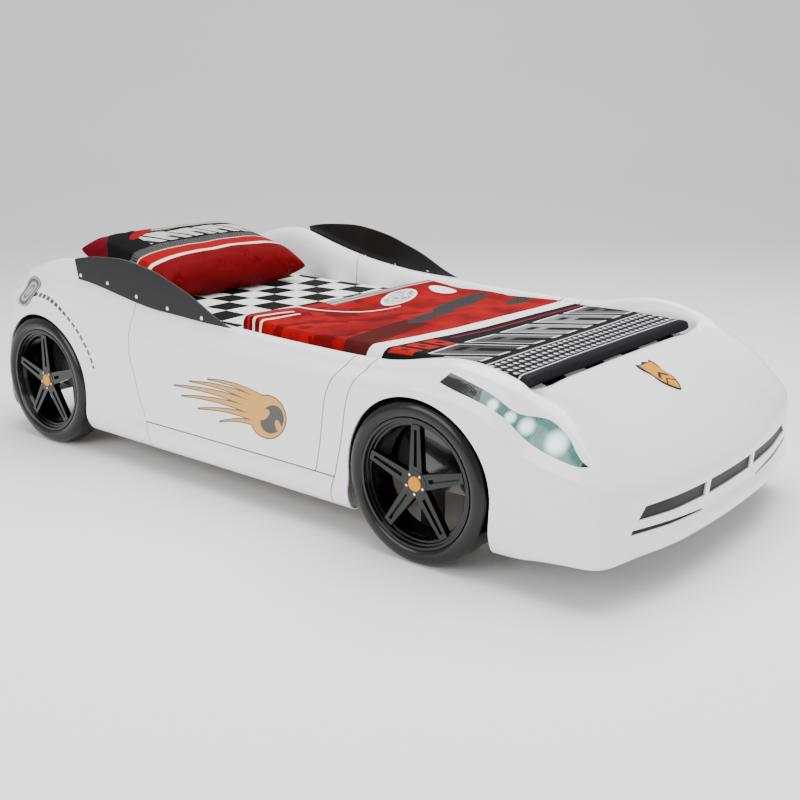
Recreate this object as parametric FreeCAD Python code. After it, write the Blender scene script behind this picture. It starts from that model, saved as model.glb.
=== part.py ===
"""Toddler bed shaped as a low sports car: moulded shells round a slatted base, with mattress and bedding.

Row frame, millimetres: X across (the car's left side is +X), Y along (nose at -Y, pillow at +Y), Z up.
The origin is on the floor under the middle of the bed. Every sub-part is written to parts/NODE.step.
"""
import FreeCAD, Part
import math
import os

V = FreeCAD.Vector

# ---------------------------------------------------------------- driving sizes
LENGTH = 2420.0            # nose tip to tail
WIDTH = 1152.0             # over the wheel arches
MATTRESS_L = 1900.0
MATTRESS_W = 900.0
MATTRESS_T = 175.0
SLAT_TOP = 280.0           # height of the slats' upper face
SLAT_T = 18.0
SLAT_W = 75.0
SLAT_COUNT = 13
SKIN = 4.5                 # moulded shell thickness
WELL_GAP = 8.0             # between the mattress and the inner walls
SEAM = 0.5                 # fitting gap between two moulded pieces
GROOVE = 4.0               # width of the black lines round the door
WHEEL_R = 210.0
WHEEL_DEPTH = 98.0         # tyre width
WHEELBASE = 1546.0
FRONT_AXLE = -635.0
ARCH_GAP = 11.0            # between tyre and wheel arch
GROUND_GAP = 76.0          # under the sills
PANEL_T = 6.0              # black window panels
RAIL_T = 25.0
RAIL_H = 95.0
BASE_GAP = 18.0            # between the slatted base and the ends of the well
SCREW_R = 3.0
CLEAR = 0.3                # hole and seat clearance, all round

HALF_L = LENGTH / 2
HALF_W = WIDTH / 2
REAR_AXLE = FRONT_AXLE + WHEELBASE
WALL_X = MATTRESS_W / 2 + WELL_GAP             # face of the inner walls
WELL_FRONT = -866.0                            # foot end of the mattress well
WELL_BACK = WELL_FRONT + MATTRESS_L + 2 * WELL_GAP - 4
MATTRESS_MID = (WELL_FRONT + WELL_BACK) / 2
MATTRESS_TOP = SLAT_TOP + CLEAR + MATTRESS_T
WHEEL_FACE = HALF_W - 2                        # outer face of the wheels
RAIL_OUT = WALL_X - 1                          # outer face of the base's side rails
RAIL_IN = RAIL_OUT - RAIL_T
RAIL_TOP = SLAT_TOP - SLAT_T
RAIL_LOW = RAIL_TOP - RAIL_H
PANEL_X = HALF_W - 51                          # inner face of the window panels


# ---------------------------------------------------------------- shape helpers
def along(profile, y):
    """Smooth value at y through the (y, value) points of a profile."""
    if y <= profile[0][0]:
        return profile[0][1]
    if y >= profile[-1][0]:
        return profile[-1][1]
    i = max(k for k in range(len(profile) - 1) if profile[k][0] <= y)

    def slope(k):
        a, b = profile[max(k - 1, 0)], profile[min(k + 1, len(profile) - 1)]
        return (b[1] - a[1]) / (b[0] - a[0])

    (y0, v0), (y1, v1) = profile[i], profile[i + 1]
    h = y1 - y0
    t = (y - y0) / h
    return (
        (1 + 2 * t) * (1 - t) ** 2 * v0
        + t * (1 - t) ** 2 * h * slope(i)
        + t * t * (3 - 2 * t) * v1
        + t * t * (t - 1) * h * slope(i + 1)
    )


def steps(first, last, spacing):
    """Evenly spaced values from first to last, about spacing apart."""
    n = max(3, round(abs(last - first) / spacing))
    return [first + (last - first) * k / n for k in range(n + 1)]


def knots_for(count):
    """Multiplicities and knots of a clamped cubic with that many poles."""
    inner = count - 4
    return [4] + [1] * inner + [4], [float(k) for k in range(inner + 2)]


def net_surface(net):
    um, uk = knots_for(len(net))
    vm, vk = knots_for(len(net[0]))
    surface = Part.BSplineSurface()
    surface.buildFromPolesMultsKnots(net, um, vm, uk, vk, False, False, 3, 3)
    return surface


def offset_net(net, distance):
    """The net moved by distance along its own normals."""
    rows, cols = len(net), len(net[0])
    moved = []
    for i in range(rows):
        line = []
        for j in range(cols):
            du = net[min(i + 1, rows - 1)][j] - net[max(i - 1, 0)][j]
            dv = net[i][min(j + 1, cols - 1)] - net[i][max(j - 1, 0)]
            n = du.cross(dv)
            n.normalize()
            line.append(net[i][j] + n * distance)
        moved.append(line)
    return moved


def strip_surface(p, q):
    """The straight strip between two rows of poles."""
    mults, knots = knots_for(len(p))
    surface = Part.BSplineSurface()
    surface.buildFromPolesMultsKnots([p, q], [2, 2], mults, [0.0, 1.0], knots, False, False, 1, 3)
    return surface.toShape()


def net_sides(a, b):
    """The four straight strips between the borders of two nets of the same size."""
    first, last = [row[0] for row in a], [row[-1] for row in a]
    borders = [(a[0], b[0]), (a[-1], b[-1]), (first, [row[0] for row in b]), (last, [row[-1] for row in b])]
    return [strip_surface(p, q) for p, q in borders]


def closed(faces):
    skin = Part.Compound(faces)
    skin.sewShape(0.01)
    solid = Part.Solid(skin.Shells[0])
    if solid.Volume < 0:
        solid.reverse()
    return solid


def sheet_solid(net, near, far):
    """A moulded sheet between two offsets of a net."""
    a, b = offset_net(net, near), offset_net(net, far)
    return closed([net_surface(a).toShape(), net_surface(b).toShape()] + net_sides(a, b))


def mirrored(shape):
    return shape.mirror(V(0, 0, 0), V(1, 0, 0))


def box(x0, x1, y0, y1, z0, z1):
    return Part.makeBox(x1 - x0, y1 - y0, z1 - z0, V(x0, y0, z0))


def rod(radius, start, end):
    """A round bar from start to end."""
    a, b = V(*start), V(*end)
    return Part.makeCylinder(radius, (b - a).Length, a, b - a)


def outline(points):
    """A closed wire of smooth stretches: each stretch is a list of points, joined end to end."""
    edges = []
    for stretch in points:
        vectors = [V(*p) for p in stretch]
        if len(vectors) == 2:
            edges.append(Part.makeLine(*vectors))
        else:
            curve = Part.BSplineCurve()
            curve.interpolate(vectors)
            edges.append(curve.toShape())
    return Part.Wire(edges)


def prism_x(stretches, x0, x1):
    """A solid with an outline in the Y-Z plane, from x0 to x1. Stretches hold (y, z) points."""
    wire = outline([[(x0, y, z) for y, z in s] for s in stretches])
    return Part.Face(wire).extrude(V(x1 - x0, 0, 0))


def prism_z(stretches, z0, z1):
    """A solid with an outline in the X-Y plane, from z0 to z1."""
    wire = outline([[(x, y, z0) for x, y in s] for s in stretches])
    return Part.Face(wire).extrude(V(0, 0, z1 - z0))


def turned(profile, axis_y, axis_z, side):
    """A solid turned about the wheel axis. The profile holds (x, radius) points, x positive outwards."""
    wire = outline([[(x, axis_y, axis_z + r) for x, r in s] for s in profile])
    solid = Part.Face(wire).revolve(V(0, axis_y, axis_z), V(1, 0, 0), 360)
    return solid if side > 0 else mirrored(solid)


def one_solid(shape):
    """The largest solid of a shape, without slivers that a cut may leave."""
    return max(shape.Solids, key=lambda s: s.Volume)


parts = {}


def keep(name, shape):
    parts[name] = shape


# ---------------------------------------------------------------- moulded shells: sections of the skin
WALL_FOOT = RAIL_LOW + 3                       # lower edge of the inner walls
FRONT_FAN = -880.0                             # ahead of this the sections fan out round the nose
BACK_FAN = 1035.0                              # behind this they fan out round the tail
# The tables below are drawn for these sizes; the functions carry them over to the driving ones.
DRAWN_NOSE, DRAWN_TAIL = 330.0, 175.0          # lengths of the fanned ends
DRAWN_HALF_W, DRAWN_WALL_X = 576.0, 458.0


def ahead(y):
    """A place along the drawn nose, on the nose as it is built."""
    return FRONT_FAN + (y - FRONT_FAN) * (HALF_L + FRONT_FAN) / DRAWN_NOSE if y < FRONT_FAN else y


def astern(y):
    """A place along the drawn tail, on the tail as it is built."""
    return BACK_FAN + (y - BACK_FAN) * (HALF_L - BACK_FAN) / DRAWN_TAIL if y > BACK_FAN else y


def wider(table):
    """A table of half widths, carried over to the bed's width."""
    return [(y, x + HALF_W - DRAWN_HALF_W) for y, x in table]


def fitted(points, stretch):
    """A drawn section carried over to the bed's length and width. Its last point stays at the well."""
    outer = [(x * HALF_W / DRAWN_HALF_W, stretch(y), z) for x, y, z in points[:-1]]
    x, y, z = points[-1]
    return outer + [(x * WALL_X / DRAWN_WALL_X, stretch(y), z)]


# Profiles along Y of the right-hand side. Z values are heights, X values are half widths.
CREST_Z = [(-1000, 450), (-880, 497), (-780, 522), (-700, 525), (-610, 509), (-520, 491), (-385, 487),
           (-150, 490), (60, 497), (225, 508), (400, 529), (530, 555), (655, 588), (740, 613), (800, 618),
           (900, 601), (1040, 556)]
CREST_X = wider([(-1000, 480), (-780, 490), (-600, 498), (-400, 504), (1040, 502)])
SHOULDER_X = wider([(-1000, 548), (-900, 563), (-760, 573), (-635, 576), (-500, 572), (-380, 563), (-200, 560),
              (200, 560), (430, 562), (650, 571), (800, 575), (911, 576), (1040, 569)])
SHOULDER_Z = [(-1000, 330), (-900, 378), (-800, 432), (-635, 456), (-450, 440), (-250, 432), (300, 440),
              (600, 455), (911, 478), (1040, 462)]
LAND_X = wider([(-1000, 520), (-880, 530), (-700, 538), (-550, 534), (-400, 526), (0, 523), (1040, 520)])
LAND_Z = [(-1000, 400), (-880, 462), (-780, 496), (-635, 490), (-450, 468), (-150, 474), (60, 484),
          (250, 496), (466, 512), (575, 529), (663, 541), (760, 549), (900, 530), (1040, 500)]
INNER_Z = [(-1000, 440), (-862, 466), (-780, 472), (-700, 468), (-610, 458), (-520, 448), (-385, 444),
           (225, 462), (530, 505), (800, 560), (1040, 520)]
SILL_X = wider([(-1000, 545), (-860, 566), (-420, 572), (0, 573), (420, 574), (800, 574), (1040, 568)])
BOTTOM_X = wider([(-1000, 532), (-860, 545), (0, 545), (1040, 547)])


def side_column(y):
    """Section of the right-hand skin, from the sill's lip, over the rim, to the foot of the inner wall."""
    crest, crest_x = along(CREST_Z, y), along(CREST_X, y)
    shoulder, shoulder_x = along(SHOULDER_Z, y), along(SHOULDER_X, y)
    land, land_x = along(LAND_Z, y), along(LAND_X, y)
    sill_x, bottom_x = along(SILL_X, y), along(BOTTOM_X, y)
    low_x = shoulder_x - 5
    points = [
        (bottom_x - 24, GROUND_GAP + 3),
        (bottom_x, GROUND_GAP - 1),
        (sill_x, GROUND_GAP + 46),
        (low_x + 3, GROUND_GAP + 84),
        (low_x, GROUND_GAP + 104),
        (low_x, (GROUND_GAP + 104 + shoulder) / 2),
        (shoulder_x, shoulder - 20),
        (shoulder_x - 3, shoulder + 4),
        (land_x + 4, land - 6),
        (land_x, land + 8),
        (max(crest_x + 16, land_x - 5), crest - 8),
        (crest_x, crest + 5),
        (crest_x - 18, crest - 8),
        (WALL_X + 9, along(INNER_Z, y)),
    ]
    return [(x, y, z) for x, z in points] + wall_foot(WALL_X, y, 1, 0)


def wall_foot(x, y, out_x, out_y):
    """Lower part of the inner wall at a place on the mattress well, with the way out of the well."""
    heights = ((1, SLAT_TOP + 80), (SKIN, SLAT_TOP - 60), (SKIN, WALL_FOOT))
    return [(x + out_x * d, y + out_y * d, z) for d, z in heights]


# Sections of the nose, from beside the wheel arch to the middle of the bonnet. Each runs from the lower
# lip, up the bumper and back over the bonnet to its rear edge at the foot of the bed.
NOSE_FAN = [
    (0.08, [(536, -932, 88), (558, -934, 84), (567, -934, 158), (559, -934, 178), (560, -934, 200),
            (560, -934, 255), (561, -933, 318), (558, -932, 352), (546, -930, 378), (531, -926, 420),
            (512, -918, 468), (489, -908, 486), (464, -894, 474), (440, -864, 466)]),
    (0.20, [(534, -985, 98), (556, -987, 94), (566, -987, 140), (558, -987, 160), (560, -987, 188),
            (560, -987, 240), (560, -986, 300), (557, -984, 328), (546, -979, 352), (529, -970, 400),
            (507, -955, 448), (480, -934, 474), (450, -902, 466), (415, -862, 468)]),
    (0.34, [(528, -1062, 108), (550, -1066, 104), (560, -1067, 124), (553, -1067, 144), (555, -1067, 180),
            (555, -1067, 235), (554, -1066, 292), (551, -1063, 320), (539, -1054, 342), (518, -1036, 392),
            (492, -1008, 438), (458, -972, 456), (415, -922, 461), (372, -862, 471)]),
    (0.44, [(522, -1112, 114), (542, -1120, 110), (552, -1123, 118), (546, -1122, 138), (548, -1122, 175),
            (548, -1122, 232), (547, -1121, 288), (543, -1117, 313), (530, -1105, 332), (506, -1080, 376),
            (474, -1043, 416), (434, -995, 442), (382, -932, 457), (330, -862, 474)]),
    (0.52, [(497, -1133, 116), (513, -1148, 112), (520, -1156, 120), (515, -1151, 140), (516, -1152, 172),
            (516, -1152, 228), (515, -1150, 280), (509, -1143, 307), (496, -1127, 328), (470, -1092, 370),
            (434, -1046, 408), (394, -990, 437), (345, -925, 457), (296, -862, 477)]),
    (0.62, [(422, -1150, 117), (431, -1169, 113), (434, -1176, 132), (432, -1172, 156), (431, -1170, 182),
            (431, -1170, 216), (430, -1169, 250), (427, -1163, 277), (416, -1147, 306), (396, -1110, 350),
            (366, -1056, 394), (331, -996, 428), (290, -927, 456), (247, -862, 480)]),
    (0.75, [(297, -1180, 117), (301, -1200, 113), (303, -1206, 132), (302, -1198, 152), (301, -1190, 172),
            (300, -1190, 204), (299, -1191, 232), (297, -1192, 254), (291, -1178, 286), (279, -1142, 332),
            (258, -1081, 382), (233, -1013, 420), (203, -934, 454), (172, -862, 483)]),
    (0.88, [(149, -1192, 117), (150, -1212, 113), (151, -1218, 132), (151, -1208, 151), (150, -1198, 170),
            (150, -1199, 202), (149, -1202, 229), (149, -1206, 248), (146, -1192, 278), (140, -1156, 326),
            (130, -1095, 376), (118, -1023, 417), (102, -938, 453), (87, -862, 486)]),
    (1.00, [(0, -1196, 117), (0, -1216, 113), (0, -1222, 132), (0, -1211, 151), (0, -1201, 170),
            (0, -1202, 202), (0, -1206, 229), (0, -1210, 246), (0, -1197, 274), (0, -1161, 322),
            (0, -1100, 373), (0, -1027, 415), (0, -940, 453), (0, -862, 487)]),
]
# Sections of the tail, from the rear wheel arch to the middle: bumper, shelf, and the raised rear rim.
TAIL_RING = [(-21, 79), (-2, 75), (0, 115), (-2, 160), (-6, 210), (-17, 330), (-51, 415), (-26, 440),
             (-23, 470), (-94, 496), (-137, 504), (-142, 549), (-152, 554), (-158, 532)]
TAIL_FAN = [
    (0.25, [(526, 1106, 79), (548, 1110, 75), (562, 1112, 122), (561, 1112, 160), (560, 1112, 200),
            (560, 1112, 300), (554, 1108, 400), (552, 1108, 436), (542, 1100, 474), (520, 1072, 500),
            (508, 1062, 516), (498, 1056, 552), (482, 1049, 550), (464, 1046, 526)]),
    (0.45, [(503, 1160, 79), (520, 1178, 75), (531, 1186, 122), (530, 1184, 160), (528, 1180, 210),
            (523, 1170, 330), (506, 1142, 415), (518, 1165, 438), (518, 1168, 470), (488, 1108, 498),
            (466, 1072, 504), (456, 1066, 550), (448, 1057, 553), (442, 1051, 530)]),
    (0.65, [(392, BACK_FAN + DRAWN_TAIL - 7 + y, z) for y, z in TAIL_RING]),
    (0.82, [(200, BACK_FAN + DRAWN_TAIL - 1 + y, z) for y, z in TAIL_RING]),
    (1.00, [(0, BACK_FAN + DRAWN_TAIL + y, z) for y, z in TAIL_RING]),
]


def fan_columns(first, fan, stretch, wall_y, out_y, count):
    """Sections interpolated from the side, round the corner, to the middle."""
    last_x = WALL_X - 14
    keys = [(0.0, first)]
    for s, drawn in fan:
        points = fitted(drawn, stretch)
        keys.append((s, points + wall_foot(min(points[-1][0], last_x), wall_y, 0, out_y)))
    columns = []
    for k in range(1, count + 1):
        s = k / count
        columns.append(
            [tuple(along([(key, c[i][a]) for key, c in keys], s) for a in range(3)) for i in range(len(first))]
        )
    return columns


def round_net(sections, fan):
    """A net that runs along the right side, round the end and back along the left side."""
    right = sections + fan
    left = [[(-x, y, z) for x, y, z in column] for column in right[:-1]]
    ring = [[(-x, y, z) for x, y, z in column] for column in right] + [
        [(-x, y, z) for x, y, z in column] for column in left[::-1]
    ]
    return [[V(*p) for p in column] for column in ring]


def end_shell(sections, fan):
    """Net of a moulded end, its skin, and the sheet that backs it."""
    net = round_net(sections, fan)
    return net, sheet_solid(net, 0, inward(net) * SKIN)


def inward(net):
    """+1 where the net's own normals point into the moulding, -1 where they point out."""
    row, column = len(net) // 2, 6
    du = net[row + 1][column] - net[row - 1][column]
    dv = net[row][column + 1] - net[row][column - 1]
    middle = V(0, 0, 250)
    return 1 if du.cross(dv).dot(middle - net[row][column]) > 0 else -1


nose_sections = [side_column(y) for y in steps(-330, FRONT_FAN, 55)]
nose_net, nose_skin = end_shell(
    nose_sections, fan_columns(nose_sections[-1], NOSE_FAN, ahead, WELL_FRONT, -1, 17)
)
tail_sections = [side_column(y) for y in steps(350, BACK_FAN, 57)]
tail_net, tail_skin = end_shell(
    tail_sections, fan_columns(tail_sections[-1], TAIL_FAN, astern, WELL_BACK, 1, 10)
)
side_net = [[V(-x, y, z) for x, y, z in side_column(y)] for y in steps(-620, 600, 60)]
side_in = inward([[p for p in column] for column in side_net])
side_skin = sheet_solid(side_net, 0, side_in * SKIN)
side_backing = sheet_solid(side_net, side_in * (SKIN + SEAM), side_in * (SKIN + SEAM + 1.5))


# ---------------------------------------------------------------- moulded shells: division at the door lines
FAR_OUT, FAR_IN = -HALF_W - 60, -WALL_X + 158
OUTER_IN = -WALL_X - 22                        # cuts of the outer skin alone stop here
DOOR_BACK = [(400, 30), (405, 166), (431, 227), (452, 310), (466, 376), (458, 441), (460, 480), (455, 700)]
DOOR_FRONT = [(-270, 30), (-297, 168), (-319, 284), (-344, 396), (-363, 431), (-384, 462), (-400, 700)]
STRIP_FRONT = [(-345, 30), (-366, 168), (-396, 300), (-422, 405), (-436, 431), (-457, 464), (-475, 700)]
SILL_LINE = GROUND_GAP + 90
HALF_GROOVE = GROOVE / 2
STUB_R = 12.0


def shifted(line, dy):
    return [(y + dy, z) for y, z in line]


def band(left, right):
    """Region on the right side between two lines that run from the sill upwards."""
    return prism_x([left, [left[-1], right[-1]], right[::-1], [right[0], left[0]]], FAR_OUT, FAR_IN)


def straight(y):
    return [(y, 30), (y, 700)]


def both_sides(shape):
    return shape.fuse(mirrored(shape))


def wheel_cut(axle):
    """The wheel arch, through the outer skin only, and the stub's hole in the inner wall."""
    reach = WHEEL_R + ARCH_GAP
    arch = rod(reach, (FAR_OUT, axle, WHEEL_R), (OUTER_IN, axle, WHEEL_R))
    arch = arch.fuse(box(FAR_OUT, OUTER_IN, axle - reach + 1, axle + reach - 1, 0, WHEEL_R))
    return arch.fuse(rod(STUB_R + 1, (FAR_OUT, axle, WHEEL_R), (FAR_IN, axle, WHEEL_R)))


far_front, far_back = straight(-HALF_L - 50), straight(HALF_L + 50)
nose_end, tail_end = straight(0), straight(0)
behind_nose = band(shifted(STRIP_FRONT, -HALF_GROOVE), nose_end)
ahead_of_tail = band(tail_end, shifted(DOOR_BACK, HALF_GROOVE))
nose_shell = nose_skin.cut(both_sides(behind_nose)).cut(both_sides(wheel_cut(FRONT_AXLE)))
tail_shell = tail_skin.cut(both_sides(ahead_of_tail)).cut(both_sides(wheel_cut(REAR_AXLE)))

above_sill = box(FAR_OUT, FAR_IN, -HALF_L, HALF_L, SILL_LINE - HALF_GROOVE, 700)
below_door = box(FAR_OUT, FAR_IN, -HALF_L, HALF_L, 30, SILL_LINE + HALF_GROOVE)
ahead_of_strip = band(far_front, shifted(STRIP_FRONT, HALF_GROOVE))
behind_strip = band(shifted(DOOR_FRONT, -HALF_GROOVE), far_back)
ahead_of_door = band(far_front, shifted(DOOR_FRONT, HALF_GROOVE))
behind_door = band(shifted(DOOR_BACK, -HALF_GROOVE), far_back)
strip_panel = side_skin.cut([ahead_of_strip, behind_strip, below_door])
door_panel = side_skin.cut([ahead_of_door, behind_door, below_door])
inner_wall = box(OUTER_IN, FAR_IN, -HALF_L, HALF_L, 30, 700)
sill = side_skin.cut([ahead_of_strip, behind_door, above_sill, inner_wall])
TRIM_HALF = 9.0                                # half width of the black strips behind the lines
trims = [
    band(shifted(line, -TRIM_HALF), shifted(line, TRIM_HALF)) for line in (STRIP_FRONT, DOOR_FRONT, DOOR_BACK)
]
trims.append(box(
    FAR_OUT, OUTER_IN, STRIP_FRONT[1][0], DOOR_BACK[1][0], SILL_LINE - TRIM_HALF, SILL_LINE + TRIM_HALF
))
trim_area = trims[0].fuse(trims[1:]).common(box(FAR_OUT, OUTER_IN - 8, -HALF_L, HALF_L, 100, 478))
door_trim = one_solid(side_backing.common(trim_area))

# ---------------------------------------------------------------- headlights: lens, reflector and LEDs
# Outline on the flank, as (y, z) points: the top from the rear end to the tip, and the bottom back again.
LAMP_TOP = [(-722, 501), (-783, 487), (-856, 461), (-913, 434), (-978, 428), (-1006, 415), (-1034, 395),
            (-1050, 378), (-1092, 346)]
LAMP_BOTTOM = [(-1092, 346), (-1082, 344), (-1038, 348), (-975, 364), (-923, 390), (-899, 409), (-858, 433),
               (-772, 460), (-699, 477)]
LAMP_STEP = -925.0                             # ahead of this the lamp reaches further inwards
LED_PLACES = [(-848, 447, 11), (-893, 425, 11), (-932, 409, 14), (-1008, 384, 19)]   # y, z, radius


def lamp_region(grow):
    """The headlight's outline carried through the flank. grow widens it all round."""
    top = [(ahead(y), z + grow) for y, z in LAMP_TOP]
    bottom = [(ahead(y), z - grow) for y, z in LAMP_BOTTOM]
    top[0], bottom[-1] = (top[0][0] + grow, top[0][1]), (bottom[-1][0] + grow, bottom[-1][1])
    tip = (top[-1][0] - grow, LAMP_TOP[-1][1])
    top[-1] = tip
    bottom[0] = tip
    region = prism_x([top, bottom, [bottom[-1], top[0]]], FAR_OUT, -HALF_W + 98)
    back = box(FAR_OUT - 1, -HALF_W + 74, LAMP_STEP, FRONT_AXLE + 35, 250, 600)
    front = box(FAR_OUT - 1, -HALF_W + 98, -HALF_L, LAMP_STEP, 250, 600)
    return region.common(back.fuse(front))


nose_in = inward(nose_net)
lamp_lens = sheet_solid(nose_net, nose_in * 0.3, nose_in * 2.8)
lamp_back = sheet_solid(nose_net, nose_in * (SKIN + 3), nose_in * (SKIN + 5))
headlight_lens = one_solid(lamp_lens.common(lamp_region(-CLEAR)))
headlight_reflector = one_solid(lamp_back.common(lamp_region(5)))
led_layer = sheet_solid(nose_net, nose_in * 3.0, nose_in * (SKIN + 2.9)).common(lamp_region(-2))
led_bulbs = Part.Compound([
    one_solid(led_layer.common(rod(r, (FAR_OUT, ahead(y), z), (-HALF_W + 98, ahead(y), z))))
    for y, z, r in LED_PLACES
])
nose_shell = nose_shell.cut(both_sides(lamp_region(0)))

# ---------------------------------------------------------------- grille and lower slots
GRILLE_TOP, GRILLE_LOW = 238.0, 192.0
GRILLE_HALF = 405.0
STRUT_X, STRUT_W = 134.0, 22.0
SLOT_HALF, SLOT_Z = 456.0, 186.0               # outer ends of the lower slots
FACE_Y = -1080.0                               # a plane behind the bumper's face


def prism_y(points, y0, y1):
    """A solid with a straight-sided outline in the X-Z plane, from y0 to y1."""
    wire = Part.makePolygon([V(x, y0, z) for x, z in points + points[:1]])
    return Part.Face(wire).extrude(V(0, y1 - y0, 0))


def through_bumper(points):
    return prism_y(points, -HALF_L - 30, FACE_Y)


strut_in, strut_out = STRUT_X - STRUT_W / 2, STRUT_X + STRUT_W / 2
middle_top = GRILLE_TOP - 7
centre_window = through_bumper([
    (-strut_in, GRILLE_LOW), (strut_in, GRILLE_LOW), (strut_in, middle_top), (-strut_in, middle_top)
])
side_window = through_bumper([
    (-GRILLE_HALF - 27, GRILLE_LOW + 18), (-290, GRILLE_LOW + 7), (-strut_out, GRILLE_LOW + 2),
    (-strut_out, middle_top), (-280, GRILLE_TOP - 4), (-GRILLE_HALF, GRILLE_TOP),
])
slot = through_bumper([
    (-SLOT_HALF, SLOT_Z - 6), (-SLOT_HALF + 5, SLOT_Z + 5), (-165, SLOT_Z - 20), (-160, SLOT_Z - 25),
    (-300, SLOT_Z - 18),
])
nose_shell = nose_shell.cut([centre_window, side_window, mirrored(side_window), slot, mirrored(slot)])
mesh_layer = sheet_solid(nose_net, nose_in * (SKIN + SEAM), nose_in * (SKIN + SEAM + 2))
mesh_half = SLOT_HALF + 16
mesh_area = through_bumper([
    (-mesh_half, SLOT_Z - 36), (mesh_half, SLOT_Z - 36), (mesh_half, SLOT_Z + 16),
    (GRILLE_HALF + 14, GRILLE_TOP + 7), (-GRILLE_HALF - 14, GRILLE_TOP + 7), (-mesh_half, SLOT_Z + 16),
])
grille_mesh = one_solid(mesh_layer.common(mesh_area))

# ---------------------------------------------------------------- bonnet badge
BADGE_BACK = [(-34, -938), (-17, -944), (0, -938), (17, -944), (34, -938)]
BADGE_SIDE = [(34, -938), (38, -962), (31, -985), (33, -1005), (24, -1030), (0, -1052)]
badge_outline = [
    [(x, ahead(y)) for x, y in BADGE_BACK],
    [(x, ahead(y)) for x, y in BADGE_SIDE],
    [(-x, ahead(y)) for x, y in BADGE_SIDE[::-1]],
]
badge_layer = sheet_solid(nose_net, -nose_in * 3.0, -nose_in * 0.1)
bonnet_badge = one_solid(badge_layer.common(prism_z(badge_outline, 340, 560)))

# ---------------------------------------------------------------- black window panels and their screws
PANEL_ARC = [(748, 622), (685, 634), (587, 642), (522, 644), (460, 639), (399, 629), (338, 615), (279, 595),
             (221, 575), (163, 549), (106, 521), (42, 499)]
PANEL_FOOT = [(42, 499), (173, 501), (272, 506), (364, 510), (458, 521), (567, 539), (655, 553), (734, 560)]
PANEL_SCREWS = [(722, 574), (588, 564), (451, 539), (310, 521), (162, 512)]
PANEL_OUT = PANEL_X + PANEL_T
window_panel = prism_x([PANEL_ARC, PANEL_FOOT, [PANEL_FOOT[-1], PANEL_ARC[0]]], -PANEL_OUT, -PANEL_X)
SCREW_TIP = -PANEL_X + 17


def screw(tip, head, radius, head_r, head_h):
    """A dome-headed screw from the seat of its head to its tip."""
    a, b = V(*head), V(*tip)
    way = (b - a).normalize()
    dome = Part.makeSphere(head_r * 1.15, a + way * (head_r * 1.15 - head_h))
    dome = dome.common(Part.makeCylinder(head_r, head_h + 1, a - way * (head_h + 1), way))
    return dome.fuse(rod(radius, head, tip))


def screw_hole(y, z):
    return rod(SCREW_R + CLEAR, (-PANEL_OUT - 1, y, z), (SCREW_TIP + 3, y, z))


panel_screws = Part.Compound([
    screw((SCREW_TIP, y, z), (-PANEL_OUT, y, z), SCREW_R, 6.5, 3.6) for y, z in PANEL_SCREWS
])
screw_holes = [screw_hole(y, z) for y, z in PANEL_SCREWS]
window_panel = window_panel.cut(screw_holes)
door_panel = door_panel.cut(screw_holes)
tail_shell = tail_shell.cut(both_sides(Part.makeCompound(screw_holes[:2])))

# ---------------------------------------------------------------- filler cap and tail lamps
CAP_Y, CAP_Z, CAP_R = 992.0, 494.0, 46.0
tail_in = inward(tail_net)


def cap_region(radius):
    return rod(radius, (FAR_OUT, CAP_Y, CAP_Z), (-HALF_W + 76, CAP_Y, CAP_Z))


cap_layer = sheet_solid(tail_net, -tail_in * 3.5, -tail_in * 0.1)
filler_cap = one_solid(cap_layer.common(cap_region(CAP_R)))
LAMP_X, LAMP_Z = (300.0, 395.0), 372.0
TAIL_LAMP_R = 36.0
LAMP_ROOM = WELL_BACK + 54                     # ahead of this the tail lamps' seats don't reach
lamp_seats = [rod(TAIL_LAMP_R, (x, LAMP_ROOM, LAMP_Z), (x, HALF_L + 20, LAMP_Z)) for x in LAMP_X]
lamp_holes = [rod(TAIL_LAMP_R + CLEAR, (x, LAMP_ROOM, LAMP_Z), (x, HALF_L + 20, LAMP_Z)) for x in LAMP_X]
tail_lamp_layer = sheet_solid(tail_net, -tail_in * 2.0, tail_in * (SKIN - 0.5))
tail_lamps = Part.Compound([one_solid(tail_lamp_layer.common(seat)) for seat in lamp_seats])
tail_shell = tail_shell.cut(both_sides(Part.makeCompound(lamp_holes)))

# ---------------------------------------------------------------- wheels
RIM_R = WHEEL_R - 42
RIM_FIT = CLEAR
HUB_R = 34.0
CAP_HOLE_R = 19.5
SPOKES = 5
TREAD = 5.0
BOLT_CIRCLE, BOLT_R = 26.5, 3.2


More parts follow.
